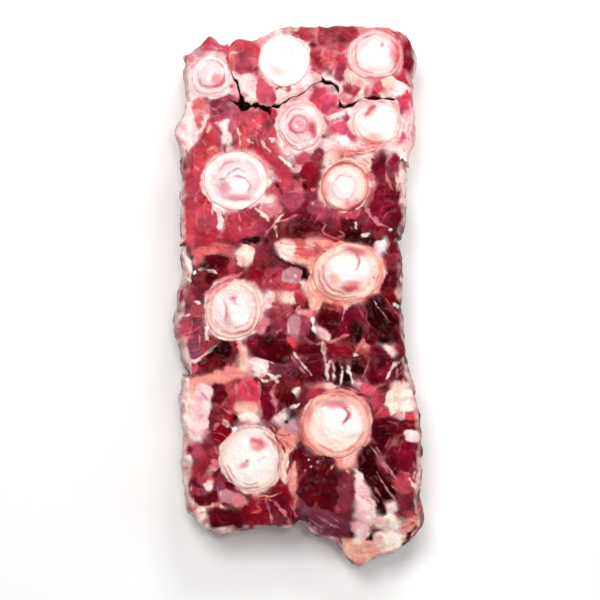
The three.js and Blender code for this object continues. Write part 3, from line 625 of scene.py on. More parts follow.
CELLS = {
    "a": Cell((-34.5, 104.9), 27.5, ((180, 14), (90, 14.5)), 2.0, SHELL, SHELL),
    "b": Cell((-9.5, 111.4), 35.6, ((90, 16.5), (115, 16)), 0.6, SHELL, BLUSH),
    "c": Cell((28, 111.4), 34.3, ((90, 14.4), (0, 19.8), (45, 18.5)), 0.8, BLUSH, SHELL),
    "d": Cell((8, 82.9), 37.4, (), 1.6, SHELL, SHELL),
    "e": Cell((27, 82.4), 35.7, ((0, 18.6),), 2.4, SHELL, SHELL),
    "f": Cell((-33, 62.4), 42.5, ((180, 28),), 0.9, SHELL, CHERRY),
    "g": Cell((20, 47.9), 43, ((-2, 30),), 0.8, CREAM, GARNET),
    "h": Cell((22, 5.9), 43.3, ((3, 26.6),), 1.0, PEACH, BURGUNDY),
    "i": Cell((-26, -4.6), 41.2, ((180, 28.8), (170, 28.7), (-158, 33)), 0.7, SHELL, PLUM),
    "j": Cell((24.5, -83.6), 56, ((-2, 43.1), (16, 41.6), (-90, 70.6), (-62, 68.9), (-48, 67.4),
                                  (-120, 54.2)), 0.5, PEACH, BURGUNDY, Slump(-84, 44, 0.5)),
    "k": Cell((-21, -86.1), 51.7, ((180, 35), (-90, 37.3), (-135, 41.5)), 0.4, SHELL, GARNET),
}


@dataclass(frozen=True)
class Crack:
    """A spot on the border of two cuts where they gape, how wide, and how far along it runs."""

    x: float
    y: float
    width: float
    spread: float


CRACKS = tuple(Crack(*row) for row in (
    (-33.6, 113, 1.0, 5), (-31, 104, 1.3, 6), (-27.6, 95.4, 4.6, 3.4), (-21, 92.3, 3.6, 3.6),
    (-17, 90.8, 3.4, 2.6), (-11.6, 91.8, 2.8, 2.6), (-7, 96, 0.9, 3), (0, 100, 0.5, 4),
    (5, 103, 0.4, 4), (12, 105.3, 2.2, 2.4), (16, 102.5, 3.6, 2.8), (20.4, 99.4, 3.2, 3),
    (26, 98.7, 2.2, 4), (38, 98.2, 2.2, 3.2), (46, 98, 1.6, 3.4),
))


@dataclass(frozen=True)
class Nudge:
    """A spot where a side or a border is pushed over, and how far the push spreads."""

    x: float
    y: float
    push_x: float
    push_y: float
    spread: float


NUDGES = tuple(Nudge(*row) for row in (
    (-56.6, 20.6, -1.8, 0, 4.5), (-59, 28, 1.0, 0, 4), (-59, -45, 1.8, 0, 6), (-57.6, 106, 2.2, 0, 7),
    (-15, 131, 0, -1.6, 5), (-22, -124, 0, 2.5, 14), (-1, -124, 0, 3.5, 7), (31, -132, 0, -3.5, 8),
    (50, -122, 3.5, -4, 10), (61, -112, 1.6, -2, 7), (-57, -104, 2.2, 0, 9), (-59, -75, 1.8, 0, 20),
    (-59, 50, 1.8, 0, 16), (-59, 79, -2.6, 0, 6), (58, 69, -2.6, 0, 6), (-56, 122, 1, -3, 5),
    (-44.5, 124, 0, 5.5, 4), (-31, 122, -1, 4.5, 7), (3, 133, 0, 1.2, 8), (-13, 90.5, 0, 2.5, 6),
    (-34, 114, -2.5, 0, 5), (23, 101, -2.5, -3, 5), (-27.4, 96, 0.6, -2.3, 4.5),
    (-35, 111, -1.8, -1.4, 4), (-31.6, 105, 1.4, 0, 4), (15.6, 101.6, 4.2, 1.8, 5.5),
    (25.6, 98, 0, -3.2, 5.2), (-20.6, 92.4, 0, 2.1, 4), (-12, -123, 0, 1.8, 7),
    (49, -126, -2.4, -1.2, 5), (2, -120, 0, 3.2, 4), (18, -128, 0, 2, 5), (45, -128, 0, -1.6, 5),
    (59, 109, -2.4, 0, 7), (57, 88, 1.6, 0, 5), (-58.6, 93, 2.8, 0, 5), (-58.6, -88, 1.6, 0, 5),
    (62, -94, -1.2, 0, 5), (59.6, -53, -1.4, 0, 6),
))


def smooth_step(value: Array | float, low: float, high: float) -> Array | float:
    """Rise smoothly from 0 at low to 1 at high."""
    share = np.clip((value - low) / (high - low), 0, 1)
    return share * share * (3 - 2 * share)


def bell(value: Array, width: float | Array) -> Array:
    """Fall off from 1 at 0 to nearly none at twice a width."""
    return np.exp(-(value / width) ** 2)


def blend(one: Array, other: Array, share: Array) -> Array:
    """Mix rows of colour, or plain values.

    Args:
        one, other: what is mixed.
        share: share of the other, from 0 to 1.

    Returns:
        The mix.
    """
    if one.ndim > share.ndim:
        share = share[:, None]
    return one * (1 - share) + other * share


def between(one: Tissue, other: Tissue, share: Array) -> Array:
    """Give rows of colour, from one tissue's at 0 to another's at 1."""
    return blend(np.tile(one.linear, (len(share), 1)), other.linear, share)


def ray(angles: Array) -> Array:
    """Give rows of x and y one long, at bearings."""
    return np.column_stack([np.cos(angles), np.sin(angles)])


def lift(plan: Array, level: float) -> Array:
    """Put plan points on a level."""
    return np.column_stack([plan[:, :2], np.full(len(plan), level)])


class Grain:
    """Seeded smooth noise in space, and seeded cells in the plane."""

    count = 256
    mask = count - 1
    layer_shift = 17.3
    middle_shift = 91
    number_shift = 47
    jitter = 0.45
    far = 9.0

    def __init__(self, seed: int) -> None:
        """Draw the order and the values of the noise's lattice.

        Args:
            seed: seed of the draws.
        """
        draw = np.random.default_rng(seed)
        self.order = np.concatenate([draw.permutation(self.count)] * 3)
        self.value = draw.uniform(-1, 1, self.count)

    def at(self, points: Array, size: float) -> Array:
        """Give smooth noise in space.

        Args:
            points: rows of x, y and z.
            size: size of its features.

        Returns:
            Noise from -1 to 1 at each point.
        """
        scaled = points / size
        base = np.floor(scaled).astype(int)
        part = scaled - base
        part = part ** 3 * (part * (part * 6 - 15) + 10)
        total = np.zeros(len(points))
        for corner in range(8):
            step = np.array([(corner >> axis) & 1 for axis in range(3)])
            cell = (base + step) & self.mask
            pick = self.order[self.order[self.order[cell[:, 0]] + cell[:, 1]] + cell[:, 2]]
            share = np.prod(np.where(step, part, 1 - part), axis=1)
            total += share * self.value[pick & self.mask]
        return total

    def layered(self, points: Array, size: float, layers: int, fade: float) -> Array:
        """Add layers of noise, each half the size of the last.

        Args:
            points: rows of x, y and z.
            size: size of the largest features.
            layers: how many layers there are.
            fade: strength of each layer as a share of the last one's.

        Returns:
            The sum at each point.
        """
        total = np.zeros(len(points))
        for layer in range(layers):
            total += fade ** layer * self.at(points + self.layer_shift * layer, size / 2 ** layer)
        return total

    def cells(self, points: Array, size: float) -> tuple[Array, Array, Array]:
        """Find the nearest of the scattered middles of cells.

        Args:
            points: rows of x and y.
            size: spacing of the cells.

        Returns:
            Distance to the nearest middle and to the next one, and the nearest's own number
            from -1 to 1.
        """
        scaled = points[:, :2] / size
        base = np.floor(scaled).astype(int)
        nearest = np.full(len(points), self.far)
        second = np.full(len(points), self.far)
        number = np.zeros(len(points))
        for step_x in (-1, 0, 1):
            for step_y in (-1, 0, 1):
                cell = base + np.array([step_x, step_y])
                row = self.order[cell[:, 0] & self.mask]
                pick = self.order[row + (cell[:, 1] & self.mask)] & self.mask
                middle = cell + 0.5 + self.jitter * np.column_stack(
                    [self.value[pick], self.value[(pick + self.middle_shift) & self.mask]])
                apart = np.hypot(*(scaled - middle).T)
                closer = apart < nearest
                second = np.where(closer, nearest, np.minimum(second, apart))
                number = np.where(closer, self.value[(pick + self.number_shift) & self.mask], number)
                nearest = np.where(closer, apart, nearest)
        return nearest * size, second * size, number


GRAIN = Grain(11)


class Uneven(Enum):
    """The kinds of unevenness, each read from its own place in the grain.

    A row gives that place, the size of the largest features, how many layers there are,
    the strength of each layer as a share of the last one's, and how far apart the two readings
    of a push lie.
    """

    LOBE_EDGE = (0, 7.0, 4, 0.56, 91)
    GROUND_EDGE = (40, 3.0)
    EDGE_SOFTNESS = (61, 5.0)
    BORDER_BEND = (400, 11.0, 4)
    CRACK_JOG = (440, 3.6, 2)
    COLLAR_RING = (270, 6.0, 3)
    COLLAR_PATCH = (280, 9.0)
    CLEFT = (5, 6.0)
    CLEFT_LINING = (9, 7.0)
    EDGE_BLUSH = (820, 4.0)
    FIBRE_BEND = (640, 9.0, 3)
    FIBRE_TURN = (660, 16.0, 2)
    FIBRE_PATCH = (680, 9.0)
    FIBRE = (0, 1.7, 2)
    FAT_RING = (0, 1.5, 2)
    FLESH_TONE = (23, 7.0, 4, 0.62)
    FLESH_HUE = (37, 9.0, 3)
    FAT_TONE = (860, 5.0, 4)
    FAT_STAIN = (71, 4.4, 3)
    BUNDLE_SHEATH = (310, 8.0, 3)
    CUT_RELIEF = (130, 5.0, 3, 0.4)
    SKIN_REACH = (720, 9.0, 3)
    SKIN_TEAR = (740, 6.0, 3)
    SKIN_BLUSH = (760, 4.0, 2)
    STRAND_WIDTH = (200, 2.6, 3)
    STRAND_FADE = (230, 3.4)
    BLOCK_SWELL = (600, 17.0, 2)
    SIDE_STRAY = (0, 9.0, 3, 0.5, 50)
    SIDE_RELIEF = (0, 8.0, 4)
    SIDE_COVER = (120, 15.0, 4)
    SIDE_STREAK = (70, 2.6, 3)
    DISC_WANDER = (0, 6.0, 3, 0.5, 33)
    DISC_PHASE = (0, 9.0, 3)
    DISC_PATCH = (55, 7.0, 3)
    DISC_ZONE = (11, 8.0, 3)
    DISC_RELIEF = (0, 4.2, 4)
    DISC_OUTLINE = (0, 0.8, 4, 0.6)

    def __init__(self, start: float, size: float, layers: int = 1, fade: float = 0.5,
                 apart: float = 100) -> None:
        """Keep the row."""
        self.start, self.size, self.layers, self.fade, self.apart = start, size, layers, fade, apart

    def over(self, plan: Array, rise: float = 0.0) -> Array:
        """Read it at plan points, on its own level or as far above it as rise."""
        return GRAIN.layered(lift(plan, self.start + rise), self.size, self.layers, self.fade)

    def through(self, place: Array, shift: float = 0.0) -> Array:
        """Read it at points in space."""
        return GRAIN.layered(place + (self.start + shift), self.size, self.layers, self.fade)

    def push(self, place: Array) -> Array:
        """Read it twice at points in space, as a push along X and along Y."""
        return np.column_stack([self.through(place), self.through(place, self.apart)])


def oval_gap(points: Array, lobe: Lobe) -> Array:
    """Measure from an oval's edge.

    Args:
        points: rows of x and y.
        lobe: the oval.

    Returns:
        Distance of each point, below 0 inside.
    """
    turn = math.radians(lobe.turn)
    across_x, across_y = points[:, 0] - lobe.x, points[:, 1] - lobe.y
    along = (math.cos(turn) * across_x + math.sin(turn) * across_y) / lobe.long
    across = (math.cos(turn) * across_y - math.sin(turn) * across_x) / lobe.wide
    return (np.hypot(along, across) - 1) * min(lobe.long, lobe.wide)


def smooth_line(line: Line, steps: int = 5) -> Array:
    """Round a line of points off into a curve through them.

    Args:
        line: the points.
        steps: how many steps the curve takes from each point to the next.

    Returns:
        Rows of x and y along the curve.
    """
    stops = np.array(line, float)
    ends = np.vstack([2 * stops[0] - stops[1], stops, 2 * stops[-1] - stops[-2]])
    share = np.linspace(0, 1, steps, endpoint=False)[:, None]
    curve = []
    for before, start, end, after in zip(ends, ends[1:], ends[2:], ends[3:]):
        curve.append(0.5 * (2 * start + (end - before) * share
                            + (2 * before - 5 * start + 4 * end - after) * share ** 2
                            + (3 * start - before - 3 * end + after) * share ** 3))
    return np.vstack(curve + [stops[-1:]])


def line_gap(points: Array, line: Line) -> tuple[Array, Array]:
    """Find the nearest place on the curve through a line of points.

    Args:
        points: rows of x and y.
        line: the line's points.

    Returns:
        Each point's distance from the curve, and the share of the curve's length that lies
        before the nearest place.
    """
    stops = smooth_line(line)
    lengths = np.hypot(*np.diff(stops, axis=0).T)
    gap = np.full(len(points), np.inf)
    run = np.zeros(len(points))
    for index, length in enumerate(lengths):
        step = stops[index + 1] - stops[index]
        share = np.clip((points[:, :2] - stops[index]) @ step / (step @ step), 0, 1)
        apart = np.hypot(*(points[:, :2] - stops[index] - share[:, None] * step).T)
        closer = apart < gap
        gap = np.where(closer, apart, gap)
        run = np.where(closer, (lengths[:index].sum() + share * length) / lengths.sum(), run)
    return gap, run


def taper(run: Array, tip: float) -> Array:
    """Give a band's share of its full width along its run, from a tip's share and back to it."""
    return tip + (1 - tip) * np.sqrt(np.sin(np.pi * run) + 1e-6)


@dataclass
class Surface:
    """Colour, stand and share of fat at a set of points."""

    colour: Array
    stand: Array
    fat: Array

    @staticmethod
    def join(parts: list["Surface"]) -> "Surface":
        """Put surfaces one after another."""
        return Surface(*(np.concatenate([getattr(part, key) for part in parts])
                         for key in ("colour", "stand", "fat")))

    def stain(self, tissue: Tissue, share: Array) -> None:
        """Take on the colour of a tissue, by a share from 0 to 1."""
        self.colour = blend(self.colour, tissue.linear, share)

    def redness(self) -> Array:
        """Give how bright its red is, from 0 on dark flesh to 1."""
        return smooth_step(self.colour[:, 0], 0.1, 0.4)


@dataclass
class TissueField:
    """Paints the cut faces of the whole block from the tissue map.

    bones holds the vertebrae's outlines. The lobes' edges wander as far as warp_reach, strands
    and collars by a share of it. Borders bend by bend_reach, jog more at a crack, and run softly
    into each other over border_softness, in square mm. Bearings are read along circles in the
    grain: a larger one gives more fibres, or more breaks in the rings, and a slower run gives
    longer ones.
    """

    bones: dict[str, Lobe]
    warp_reach: float = 1.3
    strand_warp: float = 0.5
    collar_warp: float = 0.6
    margin: float = 4.0
    border_softness: float = 144.0
    bend_reach: float = 1.5
    jog_reach: float = 0.9
    bone_hold: tuple[float, float] = (0.5, 5.0)
    ground_tone: tuple[float, float, float] = (0.2, 0.05, 0.05)
    bundle: float = 7.0
    fibre_circle: float = 22.0
    ring_circle: float = 3.2
    fibre_run: float = 0.16
    cut_shift: float = 9.0

    def __post_init__(self) -> None:
        """Lay a collar round each vertebra."""
        self.collars = [
            Lobe(bone.x, bone.y, bone.long + CELLS[name].collar_width,
                 bone.wide + CELLS[name].collar_width, CELLS[name].collar)
            for name, bone in self.bones.items()]

    def bone_gap(self, points: Array) -> Array:
        """Give the distance from the nearest vertebra's edge."""
        return np.min([oval_gap(points, bone) for bone in self.bones.values()], axis=0)

    def shares(self, plan: Array) -> Array:
        """Share plan points out among the cuts.

        Args:
            plan: rows of x and y.

        Returns:
            A row for each point with each cut's share of it: nearly 1 inside the cut, and half
            on a border.
        """
        power = np.array([np.hypot(plan[:, 0] - cell.seed[0], plan[:, 1] - cell.seed[1]) ** 2
                          - cell.girth ** 2 for cell in CELLS.values()])
        weight = np.exp(-(power - power.min(axis=0)) / self.border_softness)
        return (weight / weight.sum(axis=0)).T

    def sway(self, place: Array) -> Array:
        """Bend borders and sides out of true, but not at a vertebra.

        Args:
            place: rows of x, y and height.

        Returns:
            The push of each point in plan.
        """
        drawn_out = place * [1, 1, 0.5]
        push = self.bend_reach * Uneven.BORDER_BEND.push(drawn_out)
        jog = Uneven.CRACK_JOG.push(drawn_out)
        push += self.jog_reach * jog * np.clip(self.gape(place), 0, 1)[:, None]
        for nudge in NUDGES:
            apart = np.hypot(place[:, 0] - nudge.x, place[:, 1] - nudge.y)
            push += bell(apart, nudge.spread)[:, None] * [nudge.push_x, nudge.push_y]
        return push * smooth_step(self.bone_gap(place), *self.bone_hold)[:, None]

    @staticmethod
    def gape(place: Array) -> Array:
        """Give how wide the crack would be at each place, if it were on a border."""
        return np.max([spot.width * bell(np.hypot(place[:, 0] - spot.x, place[:, 1] - spot.y),
                                         spot.spread) for spot in CRACKS], axis=0)

    def paint(self, plan: Array) -> Surface:
        """Paint plan points of the cut faces.

        Args:
            plan: rows of x and y.

        Returns:
            The surface at those points.
        """
        warp = self.warp_reach * Uneven.LOBE_EDGE.push(lift(plan, 0))
        low, high = plan.min(axis=0) - self.margin, plan.max(axis=0) + self.margin
        surface = self.lay_lobes(plan, plan[:, :2] + warp, low, high)
        self.mottle(plan, warp, surface)
        self.run_fibres(plan, surface)
        self.draw_strands(plan, plan[:, :2] + self.strand_warp * warp, low, high, surface)
        return surface

    @staticmethod
    def reaches(lobe: Lobe, half_y: float, low: Array, high: Array) -> bool:
        """Tell whether a lobe with a half width along Y lies in a box of the plan."""
        return bool(low[0] < lobe.x + lobe.long and lobe.x - lobe.long < high[0]
                    and low[1] < lobe.y + half_y and lobe.y - half_y < high[1])

    def lay_lobes(self, plan: Array, moved: Array, low: Array,
                  high: Array) -> Surface:
        """Lay the lobes side by side, with the ground showing between them.

        Args:
            plan: rows of x and y.
            moved: the same points, pushed so that the lobes' edges wander.
            low, high: corners of the box round the points.

        Returns:
            The surface at those points.
        """
        near = [lobe for lobe in LOBES if self.reaches(lobe, lobe.long, low, high)]
        rings = [ring for ring in self.collars if self.reaches(ring, ring.wide, low, high)]
        tissues = [lobe.tissue for lobe in near + rings]
        ragged = 1.2 + 0.6 * Uneven.GROUND_EDGE.over(plan)
        settled = plan[:, :2] + self.collar_warp * (moved - plan[:, :2])
        gaps = np.array([oval_gap(moved, lobe) for lobe in near]
                        + [oval_gap(settled, ring) + 0.5 * ragged - 0.3 for ring in rings]
                        + [ragged])
        order = np.argpartition(gaps, 1, axis=0)[:2]
        nearest = np.take_along_axis(gaps, order, axis=0)
        tints = np.array([tissue.linear for tissue in tissues])
        bright = np.append(tints, [self.ground_tone], axis=0).sum(axis=1) ** 0.5
        contrast = np.clip(1.6 * np.abs(bright[order[0]] - bright[order[1]]), 0.1, 1)
        softness = 0.22 + 0.7 * np.clip(Uneven.EDGE_SOFTNESS.over(plan) + 0.15, 0, 1)
        weight = np.exp(-(gaps - nearest[0]) / (softness * (1 - 0.3 * contrast)))
        weight /= weight.sum(axis=0)
        share = self.shares(plan)
        ground = share @ np.array([cell.ground.linear for cell in CELLS.values()])
        ground_fat = share @ np.array([cell.ground.fat for cell in CELLS.values()])
        stands = np.array([tissue.stand for tissue in tissues])
        fats = np.array([tissue.fat for tissue in tissues])
        surface = Surface(weight[:-1].T @ tints + weight[-1][:, None] * ground,
                          weight[:-1].T @ stands - 0.2 * weight[-1],
                          weight[:-1].T @ fats + weight[-1] * ground_fat)
        edge = 0.5 * (nearest[1] - nearest[0])
        surface.stand += 0.5 * contrast * (1 - np.exp(-edge / 1.4))
        self.part_lobes(plan, edge, contrast, surface)
        self.ring_collars(plan, settled, surface)
        return surface

    def ring_collars(self, plan: Array, moved: Array, surface: Surface) -> None:
        """Draw the broken rings of gristle that lie round each vertebra in its collar.

        Args:
            plan: rows of x and y.
            moved: the same points, pushed so that the rings wander.
            surface: the look, which is changed.
        """
        gap = self.bone_gap(moved)
        uneven = Uneven.COLLAR_RING.over(plan)
        for radius, tissue, width in ((0.25, CORAL, 0.42), (1.35, BLUSH, 0.34),
                                      (2.3, ROSE, 0.3)):
            line = bell(gap - radius - 0.35 * uneven, width)
            where = np.clip(0.2 + 1.6 * Uneven.COLLAR_PATCH.over(plan, 9 * radius), 0, 1)
            surface.stain(tissue, 0.6 * line * where * smooth_step(surface.fat, 0.3, 0.8))
            surface.stand -= 0.3 * line * where

    def part_lobes(self, plan: Array, edge: Array, contrast: Array,
                   surface: Surface) -> None:
        """Part unlike lobes with clefts painted dark as shade and with pale linings, the clefts mostly
        at the thick end.

        Args:
            plan: rows of x and y.
            edge: distance from the nearest edge of a lobe.
            contrast: how unlike the tissues on both sides of that edge are, from 0 to 1.
            surface: the look, which is changed.
        """
        thick_end = smooth_step(-plan[:, 1], -70, -20)
        cleft = Uneven.CLEFT.over(plan)
        width = 0.25 + 0.9 * np.clip(cleft - 0.1, 0, 1) * thick_end
        line = bell(edge, width) * (1 - surface.fat) * contrast
        pale = np.clip(0.7 - 0.4 * thick_end + 1.3 * Uneven.CLEFT_LINING.over(plan), 0, 1)
        strength = np.clip(0.3 + 0.9 * np.abs(cleft), 0, 0.8)
        # Painted shade: the cleft is darkened towards near-black; where pale is high it is a pale
        # lining instead.
        surface.colour = blend(surface.colour, between(NIGHT, BLUSH, pale), line * strength)
        surface.stand += line * blend(np.full(len(plan), -0.6), np.full(len(plan), 0.1), pale)
        blush = np.exp(-edge / 0.9) * np.clip(0.5 + Uneven.EDGE_BLUSH.over(plan), 0, 1)
        surface.stain(BLUSH, 0.5 * surface.fat * blush * (0.3 + 0.7 * contrast))

    def run_fibres(self, plan: Array, surface: Surface) -> None:
        """Run fibres outward through the flesh and rings through the fat, round each vertebra.

        Args:
            plan: rows of x and y.
            surface: the look, which is changed.
        """
        own = self.shares(plan).argmax(axis=1)
        across = np.array([[plan[:, 0] - bone.x, plan[:, 1] - bone.y]
                           for bone in self.bones.values()])
        across = np.take_along_axis(across, own[None, None, :], axis=0)[0]
        far = np.hypot(*across) + 2.2 * Uneven.FIBRE_BEND.over(plan)
        around = ray(np.arctan2(across[1], across[0]) + 0.5 * Uneven.FIBRE_TURN.over(plan))
        shift = self.cut_shift * own
        fibre = Uneven.FIBRE.through(
            np.column_stack([self.fibre_circle * around, self.fibre_run * far + shift]))
        ring = Uneven.FAT_RING.through(np.column_stack([self.ring_circle * around, far + shift]))
        lean = 1 - surface.fat
        where = smooth_step(Uneven.FIBRE_PATCH.over(plan), -0.3, 0.5)
        surface.colour *= (1 + lean * where * 0.34 * fibre)[:, None]
        sinew = lean * where * smooth_step(fibre, 0.62, 0.95)
        surface.stain(BLUSH, 0.5 * sinew * (0.35 + 0.65 * surface.redness()))
        stain = surface.fat * smooth_step(ring, 0.15, 0.8) * smooth_step(-far, -34, -14)
        surface.stain(BLUSH, 0.55 * stain)
        surface.stand += 0.12 * lean * where * fibre + 0.1 * surface.fat * ring

    def mottle(self, plan: Array, warp: Array, surface: Surface) -> None:
        """Mottle the flesh, bundle by bundle, and stain the fat with a little blood.

        Args:
            plan: rows of x and y.
            warp: push that makes the bundles' edges wander.
            surface: the look, which is changed.
        """
        lean = 1 - surface.fat
        patch = Uneven.FLESH_TONE.over(plan)
        patch *= 1 - smooth_step(surface.colour[:, 0], 0.25, 0.6) * 0.5
        near, second, number = GRAIN.cells(plan[:, :2] + 1.8 * warp, self.bundle)
        border = second - near
        belly = 0.16 * number - 0.12 * bell(border, 0.9)
        tone = 1 + lean * (0.46 * patch + belly) + 0.05 * surface.fat * patch
        surface.colour *= np.clip(tone, 0.3, 1.9)[:, None]
        hue = lean * Uneven.FLESH_HUE.over(plan)
        surface.colour *= np.column_stack([1 + 0.1 * hue, 1 - 0.25 * hue, 1 - 0.3 * hue])
        tone = surface.fat * np.clip(1.3 * Uneven.FAT_TONE.over(plan), -1, 1)
        surface.stain(WHITE, 0.55 * np.clip(tone, 0, 1))
        surface.stain(BLUSH, 0.35 * np.clip(-tone, 0, 1))
        blood = surface.fat * smooth_step(Uneven.FAT_STAIN.over(plan), 0.1, 0.9)
        surface.stain(BLUSH, 0.45 * blood)
        for rise, width, tissue in ((0, 0.5, BLUSH), (40, 0.42, ROSE)):
            where = smooth_step(Uneven.BUNDLE_SHEATH.over(plan, rise), 0.12, 0.7)
            sheath = bell(border, width * (0.5 + where)) * where * lean
            surface.stain(tissue, 0.6 * sheath * (0.1 + 0.9 * surface.redness()))
        surface.stand += lean * (0.5 * border / self.bundle - 0.15)
        surface.stand += 0.4 * Uneven.CUT_RELIEF.over(plan)

    def skin(self, plan: Array, inset: Array, bare: Array,
             surface: Surface) -> None:
        """Lay the thin pale skin over the rims of the open sides, widest along the left one. It also
        serves as a painted highlight that lightens the rims, which slope away from the light.

        Args:
            plan: rows of x and y.
            inset: distance from the open side.
            bare: share of skin that there may be.
            surface: the look, which is changed.
        """
        left = smooth_step(-plan[:, 0], 25, 50)
        thin_end = smooth_step(plan[:, 1], 111, 119)
        reach = 1.6 + (2.4 + 2.0 * Uneven.SKIN_REACH.over(plan)) * (0.55 + 0.45 * left)
        torn = np.clip(0.55 + 0.25 * left + 0.9 * Uneven.SKIN_TEAR.over(plan), 0, 1)
        share = smooth_step(reach - inset, 0.0, 1.8) * torn * bare * (1 - thin_end)
        rosy = np.clip(0.12 + 0.8 * Uneven.SKIN_BLUSH.over(plan), 0, 1)
        # Painted highlight as well as skin: the pale film lightens the sloping rims, most along the
        # left.
        surface.colour = blend(surface.colour, between(SHELL, BLUSH, rosy), 0.85 * share)
        surface.fat = blend(surface.fat, np.ones(len(plan)), share)

    def draw_strands(self, plan: Array, moved: Array, low: Array,
                     high: Array, surface: Surface) -> None:
        """Draw the strands of fat, the dark creases with their painted shade, and the painted glints
        over the lobes.

        Args:
            plan: rows of x and y.
            moved: the same points, pushed so that the strands wander.
            low, high: corners of the box round the points.
            surface: the look, which is changed.
        """
        uneven = np.clip(0.9 + Uneven.STRAND_WIDTH.over(plan), 0.1, 2.0)
        faint = np.clip(0.75 + 0.8 * Uneven.STRAND_FADE.over(plan), 0, 0.92)
        for strand in STRANDS:
            stops = np.array(strand.line)
            if (stops.max(axis=0) < low[:2]).any() or (stops.min(axis=0) > high[:2]).any():
                continue
            gap, run = line_gap(moved, strand.line)
            half = 0.5 * strand.width * taper(run, 0.4) * uneven
            share = smooth_step(half - gap, -0.35, 0.25) * faint
            surface.stain(strand.tissue, share)
            surface.fat = blend(surface.fat, np.full(len(plan), strand.tissue.fat), share)
            raised = 0.35 if strand.tissue.fat else 0.7 * STAND.get(strand.tissue, -0.3)
            surface.stand += share * raised


def new_mesh(name: str, rings: Array, surface: Surface, poles: bool) -> bpy.types.Object:
    """Make a smooth mesh object from rings of points.

    Args:
        name: the piece's name.
        rings: points on the tissue map, as ring, step and coordinate.
        surface: the look at each point, ring by ring.
        poles: True closes the first and last rings, False joins the last ring to the first.

    Returns:
        The object, linked to the scene.
    """
    count, steps = rings.shape[:2]
    index = np.arange(count * steps).reshape(count, steps)
    upper, lower = (index[:-1], index[1:]) if poles else (index, np.roll(index, -1, axis=0))
    quads = np.stack([upper, lower, np.roll(lower, -1, axis=1), np.roll(upper, -1, axis=1)], axis=-1)
    faces = quads.reshape(-1, 4).tolist()
    if poles:
        faces += [index[0].tolist(), index[-1][::-1].tolist()]
    mesh = bpy.data.meshes.new(name)
    mesh.from_pydata(((rings.reshape(-1, 3) + MAP_ORIGIN) / METRE).tolist(), [], faces)
    mesh.polygons.foreach_set("use_smooth", [True] * len(mesh.polygons))
    tint = mesh.attributes.new("tint", "FLOAT_COLOR", "POINT")
    opaque = np.column_stack([np.clip(surface.colour, 0, 1), np.ones(count * steps)])
    tint.data.foreach_set("color", opaque.ravel().astype(np.float32))
    fat = mesh.attributes.new("fat", "FLOAT", "POINT")
    fat.data.foreach_set("value", surface.fat.astype(np.float32))
    mesh.update()
    piece = bpy.data.objects.new(name, mesh)
    bpy.context.scene.collection.objects.link(piece)
    return piece


